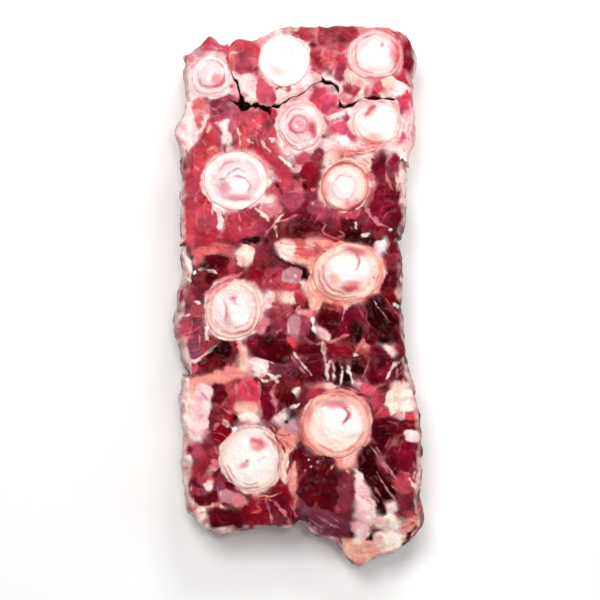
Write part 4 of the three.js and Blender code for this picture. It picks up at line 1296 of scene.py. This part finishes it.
@dataclass
class Vertebra:
    """One vertebra: the bone of a cut, with a sawn disc of cartilage at each end.

    bead and bead_pitch are the height and spacing of the thin rings on a face, and bevel rounds
    the lower edge. dome gives shares of the radius and heights above the cut face.
    """

    name: str
    steps: int = 132
    face_rings: int = 36
    bead: float = 0.1
    bead_pitch: float = 1.3
    waist: float = 0.87
    edge_wander: float = 0.045
    bevel: float = 1.1
    dome: Line = ((0, 2.2), (0.25, 2.2), (0.45, 1.7), (0.58, 1.1), (0.7, 0.8), (0.82, 0.95),
                  (0.9, 0.95), (1, 0.5))

    def __post_init__(self) -> None:
        """Read the place, the half widths and the cut plane from the vertebra's solid."""
        low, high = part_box(f"vertebra_{self.name}")
        middle, half = (low + high) / 2 * METRE, (high - low) / 2 * METRE
        x, y, _ = np.array(middle) - MAP_ORIGIN
        self.outline = Lobe(x, y, half.x, half.y, WHITE)
        self.middle = np.array([x, y])
        self.foot = low.z * METRE
        self.shift = 50.0 * (ord(self.name) - ord("a")) + 7
        self.plane = self.read_plane()

    def read_plane(self) -> Array:
        """Fit the plane of the cut face to the edge of the solid's upper disc.

        Returns:
            Height at the middle, and the slopes along X and Y.
        """
        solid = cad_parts[f"vertebra_{self.name}"]
        points = np.array([vertex.co for vertex in solid.data.vertices]) * METRE - MAP_ORIGIN
        across = points[:, :2] - self.middle
        share = np.hypot(across[:, 0] / self.outline.long, across[:, 1] / self.outline.wide)
        edge = (share > 0.97) & (points[:, 2] > 30)
        system = np.column_stack([np.ones(edge.sum()), across[edge]])
        return np.linalg.lstsq(system, points[edge, 2], rcond=None)[0]

    def level(self, plan: Array) -> Array:
        """Give the height of this cut's plane at plan points."""
        return self.plane[0] + (plan[:, :2] - self.middle) @ self.plane[1:]

    def reach(self, angles: Array) -> Array:
        """Read the disc's outline, a little out of true.

        Args:
            angles: bearings in radians.

        Returns:
            Radius at each bearing.
        """
        half_x, half_y = self.outline.long, self.outline.wide
        oval = half_x * half_y / np.hypot(half_y * np.cos(angles), half_x * np.sin(angles))
        wander = Uneven.DISC_OUTLINE.through(lift(ray(angles), self.shift))
        return oval * (1 + self.edge_wander * wander)

    def face(self, across: Array, share: Array) -> Surface:
        """Shape and paint the sawn face of a disc.

        Args:
            across: x and y from the disc's middle.
            share: how far out each point is, 1 at the edge.

        Returns:
            The surface, its stand measured from the cut face.
        """
        look = DISCS[self.name]
        place = lift(across, self.shift)
        wander = Uneven.DISC_WANDER.push(place)
        radius = 0.5 * (self.outline.long + self.outline.wide) * share
        bearing = np.arctan2(across[:, 1], across[:, 0])
        phase = (radius + 1.8 * Uneven.DISC_PHASE.through(place)) / self.bead_pitch
        bead = np.cos(FULL_TURN * (phase + bearing / FULL_TURN))
        patch = np.clip(0.55 + 1.1 * Uneven.DISC_PATCH.through(place), 0, 1)
        reach = share + 0.1 * Uneven.DISC_ZONE.through(place) * (1 - share ** 6)
        rim = smooth_step(reach, 0.4, 0.7)
        stops = [stop for stop, _ in look.zones]
        zones = np.array([to_linear(colour) for _, colour in look.zones])
        surface = Surface(np.column_stack([np.interp(reach, stops, channel) for channel in zones.T]),
                          np.zeros(len(share)), np.ones(len(share)))
        shade = np.clip(0.5 - 0.5 * bead, 0, 1) ** 2 * rim
        surface.colour = blend(surface.colour, to_linear(look.bead), look.bead_share * shade * patch)
        for mark in look.marks:
            soft = 0.4 + 0.35 * mark.wide
            stain = smooth_step(-oval_gap(across + 1.3 * wander, mark), -soft, soft)
            surface.stain(mark.tissue, 0.75 * stain)
            surface.stand += mark.tissue.stand * stain * 0.4
        for arc in look.arcs:
            gap, run = line_gap(across + 0.6 * wander, arc.line)
            half = 0.5 * arc.width * taper(run, 0.3)
            stroke = smooth_step(half - gap, -0.7, 0.5) * np.clip(patch + 0.35, 0, 1)
            surface.stain(arc.tissue, 0.8 * stroke)
            surface.stand -= 0.25 * stroke
        surface.stand += np.interp(share, *zip(*self.dome)) + self.bead * bead * rim
        surface.stand += 0.3 * Uneven.DISC_RELIEF.through(place)
        return surface

    def build(self) -> bpy.types.Object:
        """Make the vertebra from its upper face down its side to its lower face.

        Returns:
            The piece.
        """
        angles = FULL_TURN * np.arange(self.steps) / self.steps
        spokes = self.reach(angles)[:, None] * ray(angles)
        shares = np.append(np.linspace(0.012, 0.97, self.face_rings), 1.0)
        rings, surfaces = [], []
        for share in shares:
            across = share * spokes
            surface = self.face(across, np.full(self.steps, share))
            rings.append(np.column_stack([across, self.level(across + self.middle) + surface.stand]))
            surfaces.append(surface)
        side = surfaces[-1]
        for share, level in ((0.99, 0.93), (self.waist, 0.75), (self.waist, 0.3), (0.99, 0.06)):
            rings.append(lift(share * spokes, level * self.plane[0]))
            surfaces.append(side)
        for share in shares[::-2]:
            across = share * spokes
            round_off = self.bevel * smooth_step(share, 0.86, 1.0)
            ripple = 0.08 * (1 + np.cos(40 * share))
            rings.append(lift(across, self.foot + round_off + ripple))
            surfaces.append(self.face(across * [1, -1], np.full(self.steps, share)))
        points = np.array(rings) + [*self.middle, 0]
        return new_mesh(f"disc_{self.name}", points, Surface.join(surfaces), poles=True)


@dataclass(frozen=True)
class Wall:
    """An upright plane that bounds a cut.

    Args:
        bearing: direction it faces, in radians.
        distance: how far it is from the vertebra's middle.
        roll, roll_height: how far the rim rolls in from it, and how far down the roll reaches.
        open: 1 where it is an outer side of the block, 0 where it meets a neighbour.
    """

    bearing: float
    distance: float
    roll: float
    roll_height: float
    open: float


@dataclass
class MuscleSleeve:
    """The muscle and fat of one cut, round its vertebra.

    A pitch is the spacing of points along the outline, from the bore outward or down the side. A
    gap is the room left round the vertebra or between two cuts, a power the sharpness of the
    corners, and a roll how far a rim rolls in and how far down that reaches. roll_start says
    where in its quarter turn the first ring of a roll lies.
    """

    bone: Vertebra
    block: "OxtailBlock"
    spoke_pitch: float = 0.6
    ring_pitch: float = 0.52
    wall_pitch: float = 1.0
    foot_rings: int = 16
    roll_steps: int = 6
    roll_start: float = 0.16
    bore_gap: float = 0.06
    touch_gap: float = 0.03
    waist_gap: float = 0.3
    waist_levels: tuple[float, float] = (12.0, 33.0)
    tight_power: float = 160.0
    round_power: float = 34.0
    open_roll: tuple[float, float] = (4.2, 4.4)
    tight_roll: tuple[float, float] = (0.03, 0.04)
    gape_roll: tuple[float, float] = (0.9, 2.0)
    full_gape: float = 1.5
    bulge: float = 1.6
    roll_share: float = 0.45
    foot_height: float = 4.4
    face_level: float = 45.0
    wall_height: float = 36.0

    def __post_init__(self) -> None:
        """Work out the walls of the cut."""
        self.name = self.bone.name
        self.middle = self.bone.middle
        self.tissue = self.block.tissue
        self.walls = self.outer_walls() + self.shared_walls()

    def outer_walls(self) -> list[Wall]:
        """Give the open sides, whose rims roll over wide."""
        return [Wall(math.radians(bearing), distance, *self.open_roll, 1.0)
                for bearing, distance in CELLS[self.name].outer]

    def shared_walls(self) -> list[Wall]:
        """Give the sides that press against other cuts.

        Returns:
            A wall for every other cut, on the line where the circles of the two cuts balance.
        """
        cell = CELLS[self.name]
        walls = []
        for name, other in CELLS.items():
            if name == self.name:
                continue
            across = np.array(other.seed) - cell.seed
            apart = float(np.hypot(*across))
            from_seed = apart / 2 + (cell.girth ** 2 - other.girth ** 2) / (2 * apart)
            from_bone = from_seed - float((self.middle - cell.seed) @ across) / apart
            walls.append(Wall(math.atan2(across[1], across[0]), from_bone - 0.5 * self.touch_gap,
                              *self.tight_roll, 0.0))
        return walls

    def side(self, angles: Array) -> dict[str, Array]:
        """Read the side of the cut at bearings from the vertebra.

        Args:
            angles: bearings in radians.

        Returns:
            At each bearing: the side's reach, the roll of its rim and the roll_height of
            that, and the gape of a crack; and how open the side is, from 0 to 1.
        """
        facing = np.array([np.cos(angles - wall.bearing) for wall in self.walls])
        pull = np.clip(facing, 1e-3, None) / np.array([wall.distance for wall in self.walls])[:, None]
        outer = np.array([wall.open > 0 for wall in self.walls])[:, None]
        rounded = (np.where(outer, pull, 0) ** self.round_power).sum(axis=0) ** (1 / self.round_power)
        tight = (np.where(outer, 0, pull) ** self.tight_power).sum(axis=0)
        reading = {"reach": (tight + rounded ** self.tight_power) ** (-1 / self.tight_power)}
        share = pull ** self.tight_power
        share = share / share.sum(axis=0)
        for key in ("roll", "roll_height", "open"):
            reading[key] = share.T @ np.array([getattr(wall, key) for wall in self.walls])
        place = reading["reach"][:, None] * ray(angles) + self.middle
        reading["gape"] = self.tissue.gape(place) * (1 - reading["open"])
        reading["reach"] -= 0.5 * reading["gape"]
        gaping = np.clip(reading["gape"] / self.full_gape, 0, 1)
        reading["roll"] += self.gape_roll[0] * gaping
        reading["roll_height"] += self.gape_roll[1] * gaping
        return reading

    def spokes(self) -> Array:
        """Spread bearings evenly along the outline.

        Returns:
            The bearings in radians.
        """
        fine = FULL_TURN * np.arange(1441) / 1440
        points = self.side(fine)["reach"][:, None] * ray(fine)
        run = np.append(0, np.cumsum(np.hypot(*np.diff(points, axis=0).T)))
        count = int(run[-1] / self.spoke_pitch)
        return np.interp(run[-1] * np.arange(count) / count, run, fine)

    def build(self) -> bpy.types.Object:
        """Make the sleeve: over the cut face, down the side, under the foot and up the bore.

        Returns:
            The piece.
        """
        angles = self.spokes()
        outward = ray(angles)
        side = self.side(angles)
        bore = self.bone.reach(angles) + self.bore_gap
        rim = np.maximum(side["reach"] - side["roll"],
                         side["reach"] - self.roll_share * (side["reach"] - bore))
        face, face_look = self.build_face(outward, bore, rim, side)
        wall, wall_look = self.build_side(outward, rim, side, face[-1, :, 2])
        foot, foot_look = self.build_foot(outward, bore, rim + 0.5 * side["gape"])
        waist = self.middle + outward * (bore * self.bone.waist + self.waist_gap)[:, None]
        bore_wall = np.array([lift(waist, level) for level in self.waist_levels])
        count = bore_wall.shape[0] * bore_wall.shape[1]
        lean = Surface(np.tile(GARNET.linear, (count, 1)), np.zeros(count), np.zeros(count))
        return new_mesh(f"meat_{self.name}", np.concatenate([face, wall, foot, bore_wall]),
                        Surface.join([face_look, wall_look, foot_look, lean]), poles=False)

    def spread(self, outward: Array, distance: Array, level: float) -> Array:
        """Lay rings of plan points round the vertebra, and bend them with the borders.

        Args:
            outward: unit steps along the bearings.
            distance: distance from the middle, by ring and bearing.
            level: height that the bends are read at.

        Returns:
            Rows of x and y, ring by ring.
        """
        plan = (distance[:, :, None] * outward + self.middle).reshape(-1, 2)
        return plan + self.tissue.sway(lift(plan, level))

    def build_face(self, outward: Array, bore: Array, rim: Array,
                   side: dict[str, Array]) -> tuple[Array, Surface]:
        """Shape and paint the cut face, from the bore to the rim.

        Args:
            outward: unit steps along the bearings.
            bore, rim: radius of the bore and of the rim at each bearing.
            side: the side's reading at each bearing.

        Returns:
            Points as ring, step and coordinate, and their surface.
        """
        count = int(np.percentile(rim - bore, 80) / self.ring_pitch)
        shares = np.append(np.linspace(0, 0.994, count), 1.0)
        distance = bore + shares[:, None] * (rim - bore)
        plan = self.spread(outward, distance, self.face_level)
        surface = self.tissue.paint(plan)
        self.tissue.skin(plan, (side["reach"] - distance).ravel(),
                         np.tile(side["open"], len(shares)), surface)
        hold = smooth_step((distance - bore).ravel(), -0.6, 1.4)
        level = self.block.level(plan) + surface.stand * hold
        return np.column_stack([plan, level]).reshape(len(shares), -1, 3), surface

    def side_rings(self, rim: Array, side: dict[str, Array],
                   start: Array) -> list[tuple[Array, Array]]:
        """Lay out the rings of the side: the rolled rim, the wall and the rolled foot.

        Args:
            rim: radius of the rim at each bearing.
            side: the side's reading at each bearing.
            start: height of the rim at each bearing.

        Returns:
            Each ring's distance from the middle and its height, at each bearing.
        """
        reach, roll_height = side["reach"], side["roll_height"]
        rings = []
        for turn in 0.5 * math.pi * np.linspace(self.roll_start, 1.0, self.roll_steps):
            rings.append((rim + (reach - rim) * math.sin(turn),
                          start - roll_height * (1 - math.cos(turn))))
        for share in np.linspace(0, 1, int(self.wall_height / self.wall_pitch))[1:]:
            level = (start - roll_height) * (1 - share) + self.foot_height * share
            closed = 0.5 * side["gape"] * smooth_step(start - level, 6.0, 24.0)
            swell = self.bulge * side["open"] * 4 * share * (1 - share)
            rings.append((reach + closed + swell, level))
        for turn in 0.5 * math.pi * np.linspace(0, 1, self.roll_steps)[1:]:
            rings.append((reach + 0.5 * side["gape"] - (reach - rim) * (1 - math.cos(turn)),
                          np.full(len(reach), self.foot_height * (1 - math.sin(turn)))))
        return rings

    def build_side(self, outward: Array, rim: Array, side: dict[str, Array],
                   start: Array) -> tuple[Array, Surface]:
        """Shape and paint the side, from the rim to the foot.

        Args:
            outward: unit steps along the bearings.
            rim: radius of the rim at each bearing.
            side: the side's reading at each bearing.
            start: height of the rim at each bearing.

        Returns:
            Points as ring, step and coordinate, and their surface.
        """
        rings = self.side_rings(rim, side, start)
        points = np.array([np.column_stack([outward * distance[:, None] + self.middle, level])
                           for distance, level in rings])
        flat = points.reshape(-1, 3)
        near_rim = smooth_step(flat[:, 2] - np.tile(start, len(points)), -3.0, -0.2)
        bend_level = blend(flat[:, 2], np.full(len(flat), self.face_level), near_rim)
        flat[:, :2] += self.tissue.sway(np.column_stack([flat[:, :2], bend_level]))
        surface = self.paint_side(points, outward, start)
        height, depth = points[:, :, 2], start - points[:, :, 2]
        inset = np.array([side["reach"] - distance for distance, _ in rings])
        bare = side["open"] * smooth_step(-depth, -13.0, -5.0)
        self.tissue.skin(flat, inset.ravel(), bare.ravel(), surface)
        # Painted shade: the sides that meet a neighbouring cut are darkened below the rim, more where a
        # crack gapes.
        crack_shade = smooth_step(depth, 0.6, 5.0) * (1 - side["open"])
        crack_shade = (crack_shade * (0.15 + 0.85 * np.clip(side["gape"], 0, 1))).ravel()
        surface.stain(NIGHT, 0.9 * crack_shade)
        surface.fat *= 1 - crack_shade
        fade = smooth_step(height, 0.0, 3.0) * smooth_step(depth, 0.0, 3.0)
        push = surface.stand.reshape(fade.shape) * fade * side["open"]
        points[:, :, :2] += push[:, :, None] * outward
        return points, surface

    def paint_side(self, points: Array, outward: Array, start: Array) -> Surface:
        """Paint the side: the muscles run down it under patches of fat and silverskin.

        Args:
            points: points of the side as ring, step and coordinate.
            outward: unit steps along the bearings.
            start: height of the rim at each bearing.

        Returns:
            The surface at those points, its stand measured outward.
        """
        place = points.reshape(-1, 3)
        stray = 2.2 * Uneven.SIDE_STRAY.push(place * [1, 1, 0.35])
        stray *= smooth_step(self.face_level - place[:, 2], 0, 6)[:, None]
        inward = np.tile(1.6 * outward, (len(points), 1))
        surface = self.tissue.paint(place[:, :2] - inward + stray)
        surface.stand = 0.7 * Uneven.SIDE_RELIEF.through(place * [1, 1, 0.5])
        skin = smooth_step(Uneven.SIDE_COVER.through(place * [1, 1, 0.6]), 0.05, 0.4)
        skin *= smooth_step((start - points[:, :, 2]).ravel(), 4.0, 9.0)
        streak = Uneven.SIDE_STREAK.through(place * [1, 1, 0.22])
        film = between(LILAC, SHELL, np.clip(0.6 + streak, 0, 1))
        surface.colour = blend(surface.colour, film, skin * np.clip(0.75 + 0.5 * streak, 0, 1))
        surface.fat = blend(surface.fat, np.ones(len(place)), skin)
        surface.stand += 0.5 * skin
        return surface

    def build_foot(self, outward: Array, bore: Array,
                   rim: Array) -> tuple[Array, Surface]:
        """Shape and paint the lower cut face, which the block stands on.

        Args:
            outward: unit steps along the bearings.
            bore, rim: radius of the bore and of the lower rim at each bearing.

        Returns:
            Points as ring, step and coordinate, and their surface.
        """
        shares = np.linspace(1, 0, self.foot_rings + 1)[1:]
        distance = bore + shares[:, None] * (rim - bore)
        plan = self.spread(outward, distance, 0.0)
        surface = self.tissue.paint(plan)
        level = np.clip(0.12 + 0.1 * surface.stand, 0, 0.4)
        return np.column_stack([plan, level]).reshape(*distance.shape, 3), surface


def add_node(tree: bpy.types.NodeTree, kind: str, settings: dict[str, object],
             inputs: dict[str, object]) -> bpy.types.Node:
    """Add a shader node.

    Args:
        tree: the material's node tree.
        kind: the node's type name.
        settings: attributes of the node.
        inputs: input sockets by name, each given a constant or linked from an output socket.

    Returns:
        The new node.
    """
    node = tree.nodes.new(kind)
    for key, value in settings.items():
        setattr(node, key, value)
    for key, value in inputs.items():
        if isinstance(value, bpy.types.NodeSocket):
            tree.links.new(value, node.inputs[key])
        else:
            node.inputs[key].default_value = value
    return node


@dataclass(frozen=True)
class TissueFinish:
    """Raw tissue, fresh from the saw and wet.

    grain and ripple are the sizes of the mottling and of the wet surface's unevenness.
    rough_flesh and rough_fat are roughness, wet and glow the weights of the film of juice and of
    scattered light, which reaches glow_reach mm in red, green and blue. ior and shine are those
    of wet protein under the juice, and juice_ior and juice_rough the juice's own.
    """

    name: str
    slot: str
    grain: float
    grain_depth: float
    rough_flesh: float
    rough_fat: float
    ripple: float
    ripple_height: float
    wet: float
    glow: float
    glow_reach: tuple[float, float, float]
    ior: float = 1.38
    shine: float = 0.02
    juice_ior: float = 1.34
    juice_rough: float = 0.05

    def build(self) -> bpy.types.Material:
        """Make the material from the painted colour, fine mottling and a wet film.

        Returns:
            The material.
        """
        material = bpy.data.materials.new(self.name)
        material.use_nodes = True
        tree = material.node_tree
        tree.nodes.clear()
        place = add_node(tree, "ShaderNodeTexCoord", {}, {}).outputs["Object"]
        tint = add_node(tree, "ShaderNodeAttribute", {"attribute_name": "tint"}, {}).outputs["Color"]
        fat = add_node(tree, "ShaderNodeAttribute", {"attribute_name": "fat"}, {}).outputs["Fac"]
        mottle = add_node(tree, "ShaderNodeTexNoise", {}, {
            "Vector": place, "Scale": METRE / self.grain, "Detail": 3.0, "Roughness": 0.6})
        darker = add_node(tree, "ShaderNodeMapRange", {}, {
            "Value": mottle.outputs["Fac"], "From Min": 0.35, "From Max": 0.65,
            "To Min": 1 - self.grain_depth, "To Max": 1 + 0.6 * self.grain_depth})
        colour = add_node(tree, "ShaderNodeVectorMath", {"operation": "SCALE"}, {
            0: tint, "Scale": darker.outputs["Result"]})
        rough = add_node(tree, "ShaderNodeMapRange", {}, {
            "Value": fat, "To Min": self.rough_flesh, "To Max": self.rough_fat})
        ripple = add_node(tree, "ShaderNodeTexNoise", {}, {
            "Vector": place, "Scale": METRE / self.ripple, "Detail": 1.0, "Roughness": 0.5})
        bump = add_node(tree, "ShaderNodeBump", {}, {
            "Height": ripple.outputs["Fac"], "Strength": 1.0, "Distance": self.ripple_height / METRE})
        surface = add_node(tree, "ShaderNodeBsdfPrincipled", {}, {
            "Base Color": colour.outputs["Vector"], "Roughness": rough.outputs["Result"],
            "IOR": self.ior, "Specular IOR Level": self.shine, "Normal": bump.outputs["Normal"],
            "Coat Weight": self.wet, "Coat Roughness": self.juice_rough,
            "Coat IOR": self.juice_ior, "Coat Normal": bump.outputs["Normal"],
            "Subsurface Weight": self.glow, "Subsurface Scale": 1 / METRE,
            "Subsurface Radius": self.glow_reach})
        add_node(tree, "ShaderNodeOutputMaterial", {}, {"Surface": surface.outputs["BSDF"]})
        return material

    def dress(self, piece: bpy.types.Object, material: bpy.types.Material) -> None:
        """Give a piece the material."""
        piece.data.materials.append(material)


# Beef tail muscle, cut across the grain: deep red and mottled bundle by bundle, with creamy fat
# between the muscles. Juice stands on it, so it glints sharply where it is uneven.
RAW_MUSCLE = TissueFinish(
    name="raw_beef_muscle", slot="muscle", grain=0.9, grain_depth=0.16, rough_flesh=0.34,
    rough_fat=0.42, ripple=6.0, ripple_height=0.9, wet=0.06, glow=0.05, glow_reach=(1.6, 0.4, 0.3))

# Cartilage of the discs between the vertebrae, sawn through: white and waxy, with thin rings,
# a pink stain of blood and a smooth wet shine.
SAWN_CARTILAGE = TissueFinish(
    name="sawn_cartilage", slot="vertebra", grain=1.1, grain_depth=0.05, rough_flesh=0.3,
    rough_fat=0.3, ripple=4.0, ripple_height=0.5, wet=0.5, glow=0.1, glow_reach=(1.8, 1.0, 0.8))


@dataclass(frozen=True)
class Softbox:
    """A square soft light.

    Args:
        name: the light's name.
        place: where it hangs, in metres.
        size: its side in metres.
        power: its power in watts.
    """

    name: str
    place: tuple[float, float, float]
    size: float
    power: float

    def hang(self, target: Vector) -> None:
        """Make the light.

        Args:
            target: the point that it is turned to, in metres.
        """
        light = bpy.data.lights.new(self.name, "AREA")
        light.shape = "SQUARE"
        light.size = self.size
        light.energy = self.power
        lamp = bpy.data.objects.new(self.name, light)
        lamp.location = self.place
        lamp.rotation_euler = (target - Vector(self.place)).to_track_quat("-Z", "Y").to_euler()
        bpy.context.scene.collection.objects.link(lamp)


@dataclass
class Studio:
    """Plain white table, soft lights and a camera that looks straight down.

    view_width is what the photograph takes in at the height of the cut faces, and aim the point
    under its middle. fill is the brightness of the surroundings, and table_reach half the side
    of the table top in metres. The lamps are the softbox over the block, the key behind it, a
    lamp beside the camera, and two cards that lighten the shadows.
    """

    lens: float = 100.0
    sensor: float = 36.0
    view_width: float = 300.0
    aim: tuple[float, float, float] = (0.42, -3.59, 46.0)
    fill: float = 0.1
    table_reach: float = 3.0
    table_colour: str = "#f6f5f4"
    lamps: tuple[Softbox, ...] = (
        Softbox("overhead_softbox", (-0.15, 0.3, 1.0), 0.3, 6.2),
        Softbox("key_softbox", (0.22, 0.7, 0.8), 0.3, 4.0),
        Softbox("camera_lamp", (0.08, 0.1, 1.1), 0.1, 2.0),
        Softbox("right_card", (0.9, 0.1, 0.7), 0.8, 3.0),
        Softbox("front_card", (0.0, -0.9, 0.6), 0.8, 2.2),
    )

    def build(self) -> None:
        """Set the camera, the lights and the table."""
        aim = Vector(self.aim) / METRE
        camera = bpy.data.cameras.new("camera")
        camera.lens = self.lens
        camera.sensor_width = self.sensor
        stand = bpy.data.objects.new("camera", camera)
        distance = self.view_width * self.lens / self.sensor / METRE
        stand.location = aim + Vector((0, 0, distance))
        bpy.context.scene.collection.objects.link(stand)
        bpy.context.scene.camera = stand
        for box in self.lamps:
            box.hang(aim)
        self.light_room()
        self.lay_table()

    def light_room(self) -> None:
        """Surround the block with even white light."""
        world = bpy.data.worlds.new("white_room")
        world.use_nodes = True
        world.node_tree.nodes["Background"].inputs["Color"].default_value = (1, 1, 1, 1)
        world.node_tree.nodes["Background"].inputs["Strength"].default_value = self.fill
        bpy.context.scene.world = world
        bpy.context.scene.view_settings.view_transform = "Standard"

    def lay_table(self) -> None:
        """Lay a matt white table top under the block."""
        half = self.table_reach
        mesh = bpy.data.meshes.new("table_top")
        mesh.from_pydata([(-half, -half, 0), (half, -half, 0), (half, half, 0), (-half, half, 0)],
                         [], [(0, 1, 2, 3)])
        table = bpy.data.objects.new("table_top", mesh)
        bpy.context.scene.collection.objects.link(table)
        material = bpy.data.materials.new("matt_white_laminate")
        material.use_nodes = True
        surface = material.node_tree.nodes["Principled BSDF"]
        surface.inputs["Base Color"].default_value = (*to_linear(self.table_colour), 1)
        surface.inputs["Roughness"].default_value = 0.9
        surface.inputs["Specular IOR Level"].default_value = 0.1
        mesh.materials.append(material)


@dataclass
class OxtailBlock:
    """All the cuts of the block, each a sleeve of meat round a vertebra.

    The meat stands above the plane of the cuts by swell, and the whole block is out of level by
    uneven. Each starts and is full at the two distances from a vertebra that are named after it.
    """

    swell: float = 0.9
    swell_from: tuple[float, float] = (0.5, 6.0)
    uneven: float = 0.7
    uneven_from: tuple[float, float] = (0.0, 5.0)

    def __post_init__(self) -> None:
        """Read the vertebrae and spread the tissue over the block."""
        self.bones = {name: Vertebra(name) for name in CELLS}
        self.tissue = TissueField({name: bone.outline for name, bone in self.bones.items()})

    def level(self, plan: Array) -> Array:
        """Give the height of the cut faces, the cuts' planes eased into each other.

        Args:
            plan: rows of x and y on the tissue map.

        Returns:
            Heights.
        """
        planes = []
        for name, bone in self.bones.items():
            height = bone.level(plan)
            slump = CELLS[name].slump
            if slump:
                turn = math.radians(slump.bearing)
                along = (plan[:, :2] - bone.middle) @ np.array([math.cos(turn), math.sin(turn)])
                height = height - slump.steepness * np.maximum(0, along - slump.start)
            planes.append(height)
        gap = self.tissue.bone_gap(plan)
        swell = self.swell * smooth_step(gap, *self.swell_from)
        swell += self.uneven * Uneven.BLOCK_SWELL.over(plan) * smooth_step(gap, *self.uneven_from)
        return (self.tissue.shares(plan).T * np.array(planes)).sum(axis=0) + swell

    def build(self) -> None:
        """Build, dress and place every cut."""
        muscle, cartilage = RAW_MUSCLE.build(), SAWN_CARTILAGE.build()
        for name, bone in self.bones.items():
            disc = bone.build()
            meat = MuscleSleeve(bone, self).build()
            SAWN_CARTILAGE.dress(disc, cartilage)
            RAW_MUSCLE.dress(meat, muscle)
            for piece, node in ((disc, f"vertebra_{name}"), (meat, f"muscle_{name}")):
                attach(piece, "root")
                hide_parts(node)
                LOG.info("%s: %d faces", piece.name, len(piece.data.polygons))


def main() -> None:
    """Build the studio and the block."""
    logging.basicConfig(level=logging.INFO, format="%(name)s %(message)s")
    Studio().build()
    OxtailBlock().build()


if __name__ == "__main__":
    main()
